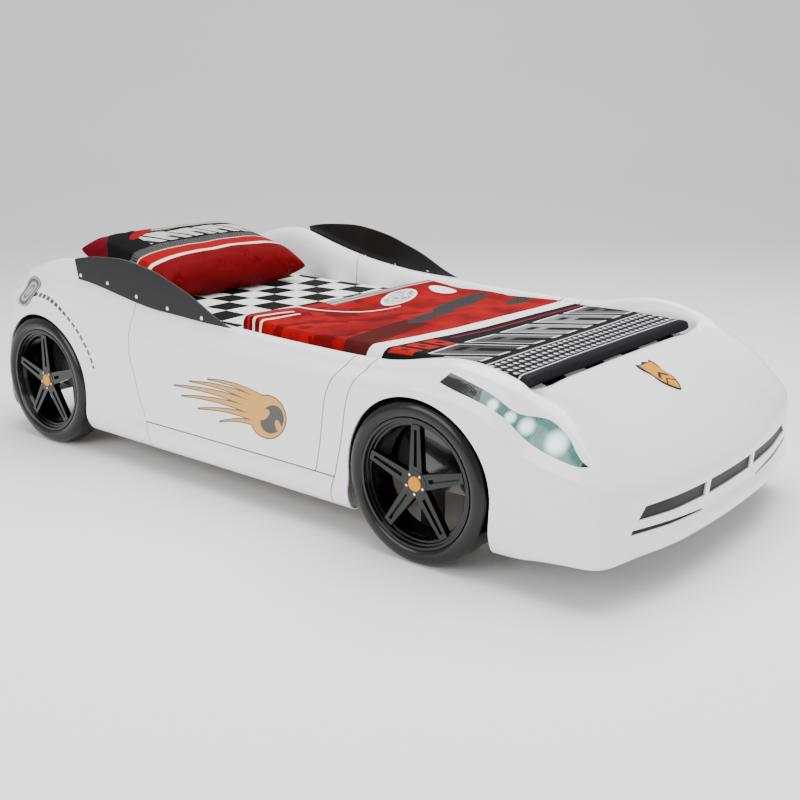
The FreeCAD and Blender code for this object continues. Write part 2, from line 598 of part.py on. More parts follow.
def wheel_pieces(axle):
    """Tyre, rim and centre cap of a left-hand wheel; the right-hand one mirrors it."""
    face, back = WHEEL_FACE, WHEEL_FACE - WHEEL_DEPTH
    outer, inner = WHEEL_R, RIM_R + RIM_FIT
    tyre = turned([
        [(back, inner), (back, outer - 16), (back + 3, outer - TREAD), (back + 12, outer)],
        [(back + 12, outer), (face - 22, outer)],
        [(face - 22, outer), (face - 7, outer - TREAD), (face - 1, outer - 18), (face - 3, inner + 6),
         (face - 8, inner)],
        [(face - 8, inner), (back, inner)],
    ], axle, WHEEL_R, 1)
    rim = turned([
        [(back + 6, RIM_R), (face - 9, RIM_R)],
        [(face - 9, RIM_R), (face - 5, RIM_R)],
        [(face - 5, RIM_R), (face - 5, RIM_R - 7)],
        [(face - 5, RIM_R - 7), (face - 12, RIM_R - 9)],
        [(face - 12, RIM_R - 9), (face - 12, RIM_R - 14)],
        [(face - 12, RIM_R - 14), (face - 19, RIM_R - 16)],
        [(face - 19, RIM_R - 16), (face - 19, RIM_R - 21)],
        [(face - 19, RIM_R - 21), (face - 30, RIM_R - 25)],
        [(face - 30, RIM_R - 25), (back + 6, RIM_R - 25)],
        [(back + 6, RIM_R - 25), (back + 6, RIM_R)],
    ], axle, WHEEL_R, 1)
    hub = rod(HUB_R, (face - 40, axle, WHEEL_R), (face - 12, axle, WHEEL_R))
    spoke_front, spoke_back = face - 13, face - 32
    root, tip = HUB_R - 6, RIM_R - 18
    half_root, half_tip = 20.0, 13.0
    shape = Part.makePolygon([
        V(spoke_back, axle - half_root, WHEEL_R + root), V(spoke_back, axle + half_root, WHEEL_R + root),
        V(spoke_back, axle + half_tip, WHEEL_R + tip), V(spoke_back, axle - half_tip, WHEEL_R + tip),
        V(spoke_back, axle - half_root, WHEEL_R + root),
    ])
    spoke = Part.Face(shape).extrude(V(spoke_front - spoke_back, 0, 0))
    groove = Part.makePolygon([
        V(spoke_front + 1, axle - 5, WHEEL_R + HUB_R + 10), V(spoke_front + 1, axle + 5, WHEEL_R + HUB_R + 10),
        V(spoke_front + 1, axle + 4, WHEEL_R + tip - 12), V(spoke_front + 1, axle - 4, WHEEL_R + tip - 12),
        V(spoke_front + 1, axle - 5, WHEEL_R + HUB_R + 10),
    ])
    spoke = spoke.cut(Part.Face(groove).extrude(V(-9, 0, 0)))
    centre, way = V(0, axle, WHEEL_R), V(1, 0, 0)
    for k in range(SPOKES):
        turned_spoke = spoke.copy()
        turned_spoke.rotate(centre, way, 360 / SPOKES * k)
        rim = rim.fuse(turned_spoke)
    rim = rim.fuse(hub)
    bore = rod(CAP_HOLE_R + CLEAR, (face - 20, axle, WHEEL_R), (face, axle, WHEEL_R))
    stub_bore = rod(STUB_R + CLEAR, (face - 60, axle, WHEEL_R), (face - 24, axle, WHEEL_R))
    rim = rim.cut([bore, stub_bore])
    cap = rod(CAP_HOLE_R, (face - 20, axle, WHEEL_R), (face - 8, axle, WHEEL_R))
    cap = cap.makeFillet(3.0, [e for e in cap.Edges if e.BoundBox.XMin > face - 9 and e.Closed])
    stub = rod(STUB_R, (RAIL_OUT, axle, WHEEL_R), (face - 24, axle, WHEEL_R))
    flange = box(RAIL_OUT, RAIL_OUT + 4, axle - 34, axle + 34, WHEEL_R - 34, WHEEL_R + 34)
    bolts = []
    for k in range(SPOKES):
        turn = math.radians(90 + 180 / SPOKES + 360 / SPOKES * k)
        y, z = axle + BOLT_CIRCLE * math.cos(turn), WHEEL_R + BOLT_CIRCLE * math.sin(turn)
        bolts.append(rod(BOLT_R, (face - 12, y, z), (face - 9.5, y, z)))
    return tyre, rim, cap, stub.fuse(flange), bolts

# ---------------------------------------------------------------- arch liners
LINER_T = 2.5


def arch_liner(axle):
    """Dark half tunnel between the tyre and the skin, from the inner wall outwards."""
    radius = WHEEL_R + ARCH_GAP + 2
    tube = rod(radius + LINER_T, (WALL_X + 18, axle, WHEEL_R), (HALF_W - 28, axle, WHEEL_R))
    tube = tube.cut(rod(radius, (WALL_X, axle, WHEEL_R), (HALF_W, axle, WHEEL_R)))
    reach = radius + LINER_T + 1
    return tube.common(box(0, HALF_W, axle - reach, axle + reach, GROUND_GAP + 24, 2 * reach))


# ---------------------------------------------------------------- slatted base
BASE_FRONT, BASE_BACK = WELL_FRONT + BASE_GAP, WELL_BACK - BASE_GAP
LEG = 45.0
GLIDE_R, GLIDE_H = 16.0, 4.0
LEG_PLACES = [FRONT_AXLE + 38, REAR_AXLE + 7]   # front edge of each leg, beside a wheel
BEAM_W, BEAM_H = 40.0, 68.0
BEAM_LEGS = (-330.0, 420.0)
BOLT_SHANK, BOLT_HEAD_R, BOLT_HEAD_H = 4.0, 8.0, 5.0
SLAT_END = 5.0                                 # from the slats' ends to the inner walls

side_rail = box(RAIL_IN, RAIL_OUT, BASE_FRONT, BASE_BACK, RAIL_LOW, RAIL_TOP)
end_rail_foot = box(-RAIL_IN, RAIL_IN, BASE_FRONT, BASE_FRONT + RAIL_T, RAIL_LOW, RAIL_TOP)
end_rail_head = box(-RAIL_IN, RAIL_IN, BASE_BACK - RAIL_T, BASE_BACK, RAIL_LOW, RAIL_TOP)
centre_beam = box(
    -BEAM_W / 2, BEAM_W / 2, BASE_FRONT + RAIL_T, BASE_BACK - RAIL_T, RAIL_TOP - BEAM_H, RAIL_TOP
)
legs, glides, bolts = [], [], []
for y in LEG_PLACES:
    for side in (-1, 1):
        x0, x1 = sorted((side * (RAIL_IN - LEG), side * RAIL_IN))
        leg = box(x0, x1, y, y + LEG, GLIDE_H, RAIL_TOP)
        middle_y = y + LEG / 2
        glides.append(rod(GLIDE_R, ((x0 + x1) / 2, middle_y, 0), ((x0 + x1) / 2, middle_y, GLIDE_H)))
        for z in (RAIL_LOW + 25, RAIL_TOP - 25):
            seat = side * (RAIL_IN - LEG)
            bolt = rod(BOLT_SHANK, (seat, middle_y, z), (side * (RAIL_OUT - 2), middle_y, z))
            head = rod(BOLT_HEAD_R, (seat - side * BOLT_HEAD_H, middle_y, z), (seat, middle_y, z))
            bolts.append(bolt.fuse(head))
            hole = rod(BOLT_SHANK + CLEAR, (seat - side, middle_y, z), (side * (RAIL_OUT - 1), middle_y, z))
            leg = leg.cut(hole)
            if side > 0:
                side_rail = side_rail.cut(hole)
        legs.append(leg)
for y in (BASE_FRONT + RAIL_T / 2, BASE_BACK - RAIL_T / 2):
    for z in (RAIL_LOW + 25, RAIL_TOP - 25):
        head = rod(BOLT_HEAD_R, (RAIL_OUT - BOLT_HEAD_H, y, z), (RAIL_OUT - 0.5, y, z))
        corner_bolt = head.fuse(rod(BOLT_SHANK, (RAIL_IN - 45, y, z), (RAIL_OUT - 1, y, z)))
        bolts += [corner_bolt, mirrored(corner_bolt)]
        seat = rod(BOLT_HEAD_R + CLEAR, (RAIL_OUT - BOLT_HEAD_H, y, z), (RAIL_OUT + 1, y, z))
        hole = seat.fuse(rod(BOLT_SHANK + CLEAR, (RAIL_IN - 46, y, z), (RAIL_OUT, y, z)))
        side_rail = side_rail.cut(hole)
        end_rail_foot = end_rail_foot.cut(both_sides(hole))
        end_rail_head = end_rail_head.cut(both_sides(hole))
for y in BEAM_LEGS:
    legs.append(box(-LEG / 2, LEG / 2, y, y + LEG, GLIDE_H, RAIL_TOP - BEAM_H))
    glides.append(rod(GLIDE_R, (0, y + LEG / 2, 0), (0, y + LEG / 2, GLIDE_H)))

slat_gap = (BASE_BACK - BASE_FRONT - SLAT_COUNT * SLAT_W) / (SLAT_COUNT - 1)
SLAT_SCREW_R, SLAT_HEAD_R, SLAT_HEAD_H, SLAT_SCREW_L = 2.2, 4.2, 3.0, 39.0
slats, slat_screws = [], []
for k in range(SLAT_COUNT):
    y = BASE_FRONT + k * (SLAT_W + slat_gap)
    slat = box(-WALL_X + SLAT_END, WALL_X - SLAT_END, y, y + SLAT_W, RAIL_TOP, SLAT_TOP)
    for side in (-1, 1):
        x, middle_y = side * (RAIL_IN + RAIL_T / 2), y + SLAT_W / 2
        seat_z, tip_z = SLAT_TOP - SLAT_HEAD_H, SLAT_TOP - 1 - SLAT_SCREW_L
        slat = slat.cut([
            rod(SLAT_SCREW_R + CLEAR, (x, middle_y, RAIL_TOP - 1), (x, middle_y, SLAT_TOP + 1)),
            rod(SLAT_HEAD_R + CLEAR, (x, middle_y, seat_z), (x, middle_y, SLAT_TOP + 1)),
        ])
        shank = rod(SLAT_SCREW_R, (x, middle_y, tip_z), (x, middle_y, SLAT_TOP - 1))
        head = rod(SLAT_HEAD_R, (x, middle_y, seat_z), (x, middle_y, SLAT_TOP - 0.6))
        slat_screws.append(shank.fuse(head))
        if side > 0:
            side_rail = side_rail.cut(rod(SLAT_SCREW_R, (x, middle_y, tip_z), (x, middle_y, RAIL_TOP + 1)))
    slats.append(slat)

# Steel straps that carry the moulded skin from the rails, and the screws that hold them.
STRAP_T, STRAP_W = 3.0, 40.0
STRAP_Y = (-330.0, 40.0, 330.0)
strap_x = BOTTOM_X[1][1] - 12
straps = []
for y in STRAP_Y:
    y0, y1 = y - STRAP_W / 2, y + STRAP_W / 2
    flat = box(RAIL_IN, strap_x, y0, y1, RAIL_LOW - STRAP_T, RAIL_LOW)
    down = box(strap_x - STRAP_T, strap_x, y0, y1, GROUND_GAP + 12, RAIL_LOW)
    straps += [flat.fuse(down), mirrored(flat.fuse(down))]

# ---------------------------------------------------------------- lighting: control box, switch, inlet, loom
# The control box, the switch and the low-voltage inlet stand on the inner face of the foot end's rail.
BOX_L, BOX_H, BOX_D = 110.0, 36.0, 70.0
BOX_X = RAIL_IN - 182
WALL = 2.5
CABLE_R = 3.0
box_y = BASE_FRONT + RAIL_T
box_z = RAIL_LOW + 30
control_box = box(BOX_X, BOX_X + BOX_L, box_y, box_y + BOX_D, box_z, box_z + BOX_H)
control_box = control_box.cut(box(
    BOX_X + WALL, BOX_X + BOX_L - WALL, box_y + WALL, box_y + BOX_D - WALL, box_z + WALL,
    box_z + BOX_H - WALL,
))

# The switch is reached from under the bed.
SWITCH_X, SWITCH_W, SWITCH_L = 120.0, 26.0, 38.0
ROCKER_W, ROCKER_L, ROCKER_H = 12.0, 20.0, 9.0
ROCKER_TILT = 10.0                             # degrees each way from the middle
PIVOT_R = 1.5
switch_y = box_y                               # back of the bezel, on the front end rail
switch_z = RAIL_LOW + 48


def moved(shape, x, y, z):
    shape.translate(V(x, y, z))
    return shape


bezel = box(-SWITCH_L / 2, SWITCH_L / 2, 0, 14, -SWITCH_W / 2, SWITCH_W / 2)
well_l, well_w = ROCKER_L + 2.4, ROCKER_W + 1.0
bezel = bezel.cut(box(-well_l / 2, well_l / 2, 2, 15, -well_w / 2, well_w / 2))
PIVOT_Y = 9.5
pin_hole = rod(PIVOT_R + 0.05, (0, PIVOT_Y, -SWITCH_W / 2 + 2), (0, PIVOT_Y, SWITCH_W / 2 - 2))
bezel = bezel.cut(pin_hole)
rocker = box(-ROCKER_L / 2, ROCKER_L / 2, PIVOT_Y - 3, PIVOT_Y - 3 + ROCKER_H, -ROCKER_W / 2, ROCKER_W / 2)
dish = rod(34, (0, PIVOT_Y + ROCKER_H - 5 + 34, -ROCKER_W), (0, PIVOT_Y + ROCKER_H - 5 + 34, ROCKER_W))
rocker = rocker.cut(dish)
rocker = rocker.fuse(rod(PIVOT_R, (0, PIVOT_Y, -ROCKER_W / 2 - 3), (0, PIVOT_Y, ROCKER_W / 2 + 3)))
rocker.rotate(V(0, PIVOT_Y, 0), V(0, 0, 1), -ROCKER_TILT)
for piece in (bezel, rocker):
    moved(piece, SWITCH_X, switch_y, switch_z)
inlet = rod(7, (SWITCH_X - 60, box_y, switch_z), (SWITCH_X - 60, box_y + 16, switch_z))
inlet = inlet.cut(rod(2.75, (SWITCH_X - 60, box_y + 5, switch_z), (SWITCH_X - 60, box_y + 17, switch_z)))

def route(points, radius, bend):
    """A round cable through the points, with each corner rounded to the bend radius."""
    corners = [V(*p) for p in points]
    edges, start = [], corners[0]
    for k in range(1, len(corners) - 1):
        a, b = (corners[k - 1] - corners[k]).normalize(), (corners[k + 1] - corners[k]).normalize()
        half_turn = a.getAngle(b) / 2
        reach = bend / math.tan(half_turn)
        first, last = corners[k] + a * reach, corners[k] + b * reach
        to_arc = (a + b).normalize() * (bend / math.sin(half_turn) - bend)
        edges.append(Part.makeLine(start, first))
        edges.append(Part.Arc(first, corners[k] + to_arc, last).toShape())
        start = last
    edges.append(Part.makeLine(start, corners[-1]))
    path = Part.Wire(edges)
    circle = Part.Wire(Part.makeCircle(radius, corners[0], corners[1] - corners[0]))
    return path.makePipeShell([circle], True, False)


loom_low = RAIL_LOW - 22
loom_front = WELL_FRONT - 50
LOOM_CROSS_Z = 300.0                           # height at which the cables cross behind the bumper
loom_start = (BOX_X + BOX_L / 2, box_y + BOX_D / 2)
looms = [
    route([
        (loom_start[0] + side * 12, loom_start[1], box_z),
        (loom_start[0] + side * 12, loom_start[1], loom_low),
        (loom_start[0] + side * 12, loom_front, loom_low),
        (loom_start[0] + side * 12, loom_front, LOOM_CROSS_Z),
        (side * (WALL_X - 18), loom_front, LOOM_CROSS_Z),
        (side * (WALL_X - 18), loom_front, LOOM_CROSS_Z + 65),
    ], CABLE_R, 14.0)
    for side in (-1, 1)
]

# ---------------------------------------------------------------- mattress, duvet and pillow
CORNER_R = 38.0
SOFT_GAP = 0.6
mattress = box(
    -MATTRESS_W / 2, MATTRESS_W / 2, MATTRESS_MID - MATTRESS_L / 2, MATTRESS_MID + MATTRESS_L / 2,
    SLAT_TOP + CLEAR, MATTRESS_TOP,
)
mattress = mattress.makeFillet(
    CORNER_R, [e for e in mattress.Edges if abs(e.BoundBox.ZLength - MATTRESS_T) < 1]
)
mattress = mattress.makeFillet(
    16.0, [e for e in mattress.Edges if e.BoundBox.ZLength < 1 and e.BoundBox.ZMin > MATTRESS_TOP - 1]
)
DUVET_FRONT, DUVET_BACK = WELL_FRONT + 2, 104.0
DUVET_T, DUVET_FOLD = 26.0, 48.0
duvet_half = MATTRESS_W / 2 - 14
duvet_low = MATTRESS_TOP + SOFT_GAP
duvet_top = duvet_low + DUVET_T
fold_top = duvet_low + DUVET_FOLD
duvet = prism_x([
    [(DUVET_FRONT, duvet_low), (DUVET_BACK, duvet_low)],
    [(DUVET_BACK, duvet_low), (DUVET_BACK + 8, duvet_low + DUVET_FOLD / 2), (DUVET_BACK - 6, fold_top)],
    [(DUVET_BACK - 6, fold_top), (-100, duvet_top + 6), (DUVET_FRONT + 320, duvet_top),
     (DUVET_FRONT, duvet_top - 12)],
    [(DUVET_FRONT, duvet_top - 12), (DUVET_FRONT, duvet_low)],
], -duvet_half, duvet_half)
PILLOW_L, PILLOW_W, PILLOW_T, PILLOW_TILT = 660.0, 430.0, 135.0, 13.0
PILLOW_Y = 792.0
pillow = box(-PILLOW_L / 2, PILLOW_L / 2, -PILLOW_W / 2, PILLOW_W / 2, -PILLOW_T / 2, PILLOW_T / 2)
pillow = pillow.makeFillet(PILLOW_T * 0.46, pillow.Edges)
pillow.rotate(V(0, 0, 0), V(1, 0, 0), PILLOW_TILT)
pillow = moved(pillow, 0, PILLOW_Y, MATTRESS_TOP + SOFT_GAP - pillow.BoundBox.ZMin)

# ---------------------------------------------------------------- the nodes
for name, shape in (
    ("nose_shell", nose_shell), ("tail_shell", tail_shell), ("grille_mesh", grille_mesh),
    ("bonnet_badge", bonnet_badge), ("end_rail_foot", end_rail_foot), ("end_rail_head", end_rail_head),
    ("centre_beam", centre_beam), ("base_legs", Part.Compound(legs)), ("leg_glides", Part.Compound(glides)),
    ("frame_bolts", Part.Compound(bolts)), ("slats", Part.Compound(slats)),
    ("slat_screws", Part.Compound(slat_screws)), ("body_straps", Part.Compound(straps)),
    ("light_control_box", control_box), ("switch_bezel", bezel), ("switch_rocker", rocker),
    ("power_inlet", inlet), ("light_loom", Part.Compound(looms)),
    ("mattress", mattress), ("duvet", duvet), ("pillow", pillow),
    ("tail_lamps", Part.Compound([tail_lamps, mirrored(tail_lamps)])),
    ("window_screws", Part.Compound([panel_screws, mirrored(panel_screws)])),
    ("headlight_leds", Part.Compound([led_bulbs, mirrored(led_bulbs)])),
):
    keep(name, shape)
for name, shape in (
    ("strip_panel", strip_panel), ("door_panel", door_panel), ("sill", sill), ("door_trim", door_trim),
    ("window_panel", window_panel), ("headlight_lens", headlight_lens),
    ("headlight_reflector", headlight_reflector), ("filler_cap", filler_cap),
):
    keep("right_" + name, shape)
    keep("left_" + name, mirrored(shape))
keep("left_side_rail", side_rail)
keep("right_side_rail", mirrored(side_rail))
hub_bolts, caps = [], []
for place, axle in (("front", FRONT_AXLE), ("rear", REAR_AXLE)):
    tyre, rim, cap, stub, heads = wheel_pieces(axle)
    liner = arch_liner(axle)
    for side, turn in (("left", lambda s: s), ("right", mirrored)):
        keep(f"{side}_{place}_tyre", turn(tyre))
        keep(f"{side}_{place}_rim", turn(rim))
        keep(f"{side}_{place}_hub_stub", turn(stub))
        keep(f"{side}_{place}_arch_liner", turn(liner))
        hub_bolts += [turn(h) for h in heads]
    caps += [cap, mirrored(cap)]
keep("wheel_centre_caps", Part.Compound(caps))
keep("hub_bolts", Part.Compound(hub_bolts))

os.makedirs("parts", exist_ok=True)
for name, shape in parts.items():
    shape.exportStep(f"parts/{name}.step")
print(len(parts), "nodes")
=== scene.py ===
import math

import bmesh
import bpy
from mathutils import Matrix, Vector, noise


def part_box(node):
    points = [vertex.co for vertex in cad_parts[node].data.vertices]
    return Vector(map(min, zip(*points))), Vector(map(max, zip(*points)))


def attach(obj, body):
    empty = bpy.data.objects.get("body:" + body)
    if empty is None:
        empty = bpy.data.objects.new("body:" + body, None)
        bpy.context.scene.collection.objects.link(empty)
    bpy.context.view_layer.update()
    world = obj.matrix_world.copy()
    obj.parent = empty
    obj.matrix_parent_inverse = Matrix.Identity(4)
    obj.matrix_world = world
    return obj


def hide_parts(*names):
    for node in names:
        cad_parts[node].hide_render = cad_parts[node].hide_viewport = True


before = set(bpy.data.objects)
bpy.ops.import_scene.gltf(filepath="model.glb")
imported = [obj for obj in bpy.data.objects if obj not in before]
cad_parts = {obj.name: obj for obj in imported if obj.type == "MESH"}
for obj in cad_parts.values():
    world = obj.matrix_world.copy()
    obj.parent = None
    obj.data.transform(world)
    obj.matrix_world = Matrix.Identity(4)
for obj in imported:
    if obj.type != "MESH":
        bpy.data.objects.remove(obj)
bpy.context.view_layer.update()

# ---------------------------------------------------------------- camera
# Eye height of a standing adult's chest, off the right front corner, with a normal lens.
eye = Vector((-2.5626, -2.2234, 1.1590))
sight = Vector((0.7440, 0.6082, -0.2767))
camera = bpy.data.objects.new("camera", bpy.data.cameras.new("camera"))
bpy.context.scene.collection.objects.link(camera)
camera.location = eye
camera.rotation_euler = sight.to_track_quat("-Z", "Y").to_euler()
camera.data.lens = 50.06
camera.data.sensor_width = 36.0
camera.data.clip_end = 60.0
bpy.context.scene.camera = camera


# ---------------------------------------------------------------- slatted base
# The bed stands on a dark coated board frame with pine slats, bolted at its corners. It hides inside the
# shells and is seen only from below and when the mattress is lifted.
class Field:
    """A number, colour or vector that varies over a surface, with arithmetic on its socket."""

    def __init__(self, finish, socket):
        self.finish, self.socket = finish, socket

    def math(self, operation, *others):
        values = dict(enumerate((self,) + others))
        return self.finish.node("ShaderNodeMath", {"operation": operation}, values).out(0)

    def __add__(self, other):
        return self.math("ADD", other)

    def __radd__(self, other):
        return self.math("ADD", other)

    def __sub__(self, other):
        return self.math("SUBTRACT", other)

    def __rsub__(self, other):
        return (self * -1.0) + other

    def __mul__(self, other):
        return self.math("MULTIPLY", other)

    def __rmul__(self, other):
        return self.math("MULTIPLY", other)

    def __truediv__(self, other):
        return self.math("DIVIDE", other)

    def __mod__(self, other):
        return self.math("FLOORED_MODULO", other)

    def __abs__(self):
        return self.math("ABSOLUTE")

    def __pow__(self, other):
        return self.math("POWER", other)

    def over(self, edge):
        """1 where the value is above edge."""
        return self.math("GREATER_THAN", edge)

    def under(self, edge):
        return self.math("LESS_THAN", edge)

    def within(self, low, high):
        """1 between low and high."""
        return self.over(low) * self.under(high)

    def larger(self, other):
        return self.math("MAXIMUM", other)

    def smaller(self, other):
        return self.math("MINIMUM", other)

    def sine(self):
        return self.math("SINE")

    def root(self):
        return self.math("SQRT")

    def whole(self):
        return self.math("FLOOR")

    def ramp(self, low, high, first=0.0, last=1.0):
        """Goes smoothly from first to last as the value goes from low to high."""
        settings = {"interpolation_type": "SMOOTHSTEP"}
        values = {0: self, 1: low, 2: high, 3: first, 4: last}
        return self.finish.node("ShaderNodeMapRange", settings, values).out(0)


class Built:
    """A shader node, and its outputs as fields."""

    def __init__(self, finish, made):
        self.finish, self.made = finish, made

    def out(self, key):
        return Field(self.finish, self.made.outputs[key])


class Finish:
    """A material's node tree around one Principled shader."""

    def __init__(self, name, **constants):
        self.material = bpy.data.materials.new(name)
        self.material.use_nodes = True
        self.tree = self.material.node_tree
        self.shader = self.tree.nodes["Principled BSDF"]
        self.set(**constants)
        place = self.node("ShaderNodeTexCoord").out("Object")
        self.place = place
        split = self.node("ShaderNodeSeparateXYZ", {}, {0: place})
        self.x, self.y, self.z = (split.out(k) for k in range(3))

    def node(self, kind, settings=None, inputs=None):
        made = self.tree.nodes.new(kind)
        for key, value in (settings or {}).items():
            setattr(made, key, value)
        for key, value in (inputs or {}).items():
            self.feed(made.inputs[key], value)
        return Built(self, made)

    def feed(self, socket, value):
        if isinstance(value, Field):
            self.tree.links.new(value.socket, socket)
        elif isinstance(value, tuple) and len(value) == 3 and socket.type == "RGBA":
            socket.default_value = (*value, 1.0)
        else:
            socket.default_value = value

    def set(self, **values):
        """Sets the shader's sockets; base_color means Base Color."""
        for key, value in values.items():
            self.feed(self.shader.inputs[key.replace("_", " ").title().replace("Ior", "IOR")], value)
        return self

    def mix(self, share, first, second):
        """A colour between first and second."""
        values = {0: share, 6: first, 7: second}
        return self.node("ShaderNodeMix", {"data_type": "RGBA"}, values).out(2)

    def noise(self, scale, detail=3.0, rough=0.5, place=None):
        inputs = {"Vector": place or self.place, "Scale": scale, "Detail": detail, "Roughness": rough}
        return self.node("ShaderNodeTexNoise", {}, inputs).out("Fac")

    def bump(self, height, depth, strength=1.0):
        """Feeds the shader's normal from a height field, depth in metres."""
        inputs = {"Strength": strength, "Distance": depth, "Height": height}
        self.feed(self.shader.inputs["Normal"], self.node("ShaderNodeBump", {}, inputs).out(0))
        return self


def dress(names, finish):
    """Gives CAD nodes a finish."""
    for name in names:
        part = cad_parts[name]
        for held in part.material_slots:
            held.link = "OBJECT"
            held.material = finish.material
        if not part.material_slots:
            part.data.materials.append(finish.material)


def both(name):
    return ["right_" + name, "left_" + name]


def wood_finish(name, light, dark, along_x):
    """Planed softwood: long grain with darker streaks, open pores and a dry surface."""
    f = Finish(name, specular_ior_level=0.3)
    stretch = (1.6, 26.0, 26.0) if along_x else (26.0, 1.6, 26.0)
    grain_place = f.node("ShaderNodeVectorMath", {"operation": "MULTIPLY"}, {0: f.place, 1: stretch}).out(0)
    streaks = f.noise(2.2, 8.0, 0.65, grain_place)
    rings = (streaks * 34.0).sine() * 0.5 + 0.5
    colour = f.mix(rings * 0.45 + streaks * 0.4, light, dark)
    f.set(base_color=colour, roughness=streaks * 0.2 + 0.5)
    return f.bump(rings * 0.3 + streaks, 0.0006)


dress(["slats"], wood_finish("pine_slats", (0.80, 0.62, 0.38), (0.52, 0.33, 0.16), True))
frame_board = wood_finish("coated_board", (0.020, 0.020, 0.021), (0.012, 0.012, 0.013), False)
dress(both("side_rail") + ["centre_beam", "end_rail_foot", "end_rail_head", "base_legs"], frame_board)


def plated_finish(name, tone, roughness):
    """Zinc-plated steel with the faint crystal clouds and handling marks of bright plating."""
    f = Finish(name, metallic=1.0)
    clouds = f.noise(55.0, 4.0)
    f.set(base_color=f.mix(clouds, tone, tuple(c * 0.8 for c in tone)))
    f.set(roughness=clouds * 0.18 + roughness)
    return f.bump(f.noise(900.0, 2.0), 0.00012)


zinc = plated_finish("zinc_plate", (0.66, 0.67, 0.69), 0.28)
dress(["frame_bolts", "slat_screws", "body_straps"], zinc)


def moulded_finish(name, tone, roughness, grain, coat=0.0, worn=0.06):
    """Moulded plastic: fine grain in the surface, and small changes of sheen where hands and dust reach."""
    f = Finish(name, coat_weight=coat, coat_roughness=0.06, specular_ior_level=0.3)
    clouds = f.noise(7.0, 4.0)
    f.set(base_color=f.mix(clouds * worn * 4.0, tone, tuple(c * 0.8 + 0.001 for c in tone)))
    f.set(roughness=clouds * worn * 2.0 + roughness - worn)
    return f.bump(f.noise(grain, 3.0, 0.6), 0.0002)


dress(["leg_glides"], moulded_finish("glide_rubber", (0.03, 0.03, 0.03), 0.75, 700.0))

# ---------------------------------------------------------------- lighting: box, switch, inlet and loom
# A small black box behind the foot rail feeds the headlights. Its rocker and low-voltage inlet are
# plain black mouldings, and two thin cables run from the box to the lamps.
switch_black = moulded_finish("switch_black", (0.022, 0.022, 0.024), 0.38, 500.0)
dress(["light_control_box", "switch_bezel", "switch_rocker", "power_inlet"], switch_black)
dress(["light_loom"], moulded_finish("cable_black", (0.018, 0.018, 0.02), 0.5, 1200.0))

# ---------------------------------------------------------------- moulded shells
# Nose, tail, doors, strips and sills are vacuum-formed ABS with a high white gloss. The forming leaves
# a very slight waviness and orange peel under the gloss.
def gloss_white(name):
    """The white gloss, and its plain colour to print on."""
    f = Finish(name, coat_weight=0.8, coat_roughness=0.03, specular_ior_level=0.45)
    drift = f.noise(1.6, 2.0)
    f.set(roughness=drift * 0.08 + 0.2)
    f.bump(f.noise(160.0, 2.0) * 0.03 + f.noise(5.0, 2.0), 0.0012)
    return f, f.mix(drift, (0.88, 0.885, 0.89), (0.93, 0.93, 0.93))


def from_point(f, y, z):
    """Distance from a point, seen from the side."""
    return ((f.y - y) ** 2.0 + (f.z - z) ** 2.0).root()


def either(masks):
    """1 where any of the masks is 1."""
    joined = masks[0]
    for mask in masks[1:]:
        joined = joined.larger(mask)
    return joined


INK = (0.004, 0.004, 0.005)
WHEEL_Z, AXLES = 0.210, (-0.635, 0.911)
body_white, white = gloss_white("shell_white")
ARCH_SHADE_RADIUS = 0.23
arch_painted_shade = either([from_point(body_white, axle, WHEEL_Z).under(ARCH_SHADE_RADIUS) for axle in AXLES])
# The inner wall behind each wheel is painted black as shade, and a row of dashes is printed round the rear
# arch.
white = body_white.mix(arch_painted_shade * abs(body_white.x).under(0.515), white, INK)
from_axle = from_point(body_white, AXLES[1], WHEEL_Z)
turned = (body_white.z - WHEEL_Z).math("ARCTAN2", body_white.y * -1.0 + AXLES[1])
dashes = ((turned * 11.0) % 1.0).under(0.7) * turned.within(0.30, 1.80) * from_axle.within(0.277, 0.288)
white = body_white.mix(dashes * abs(body_white.x).over(0.5), white, (0.05, 0.05, 0.055))
body_white.set(base_color=white)
dress(["nose_shell", "tail_shell"] + both("strip_panel") + both("sill"), body_white)

# Each door carries a printed flame: a ball at the front and thin gold streaks that trail to the rear.
door_white, white = gloss_white("door_white")
y, z = door_white.y, door_white.z
STREAK_START, OUTLINE, FLAME_Z = -0.13, 0.0030, 0.284
STREAKS = (
    # height at the ball's edge, rear end, half thickness
    (0.050, 0.12, 0.010), (0.034, 0.20, 0.012), (0.014, 0.27, 0.013),
    (-0.008, 0.24, 0.012), (-0.030, 0.17, 0.011), (-0.048, 0.08, 0.009),
)
outlines, golds = [], []
for offset, length, thick in STREAKS:
    along = (y - STREAK_START) / (length - STREAK_START)
    height = (along * 3.0).sine() * 0.014 + (along * offset * 0.45 + offset * 0.75 + FLAME_Z)
    half = (along * -1.0 + 1.0).larger(0.0) * thick
    away_from = abs(z - height)
    inside = y.within(STREAK_START, length)
    outlines.append((half + OUTLINE - away_from).over(0.0) * inside)
    golds.append((half - away_from).over(0.0) * inside)


def blob(cy, cz, ry, rz, lean):
    """Grows from 0 at the middle of a leaning oval on the door to 1 on its outline."""
    return (((y - cy) / ry) ** 2.0 + ((z - cz - (y - cy) * lean) / rz) ** 2.0).root()


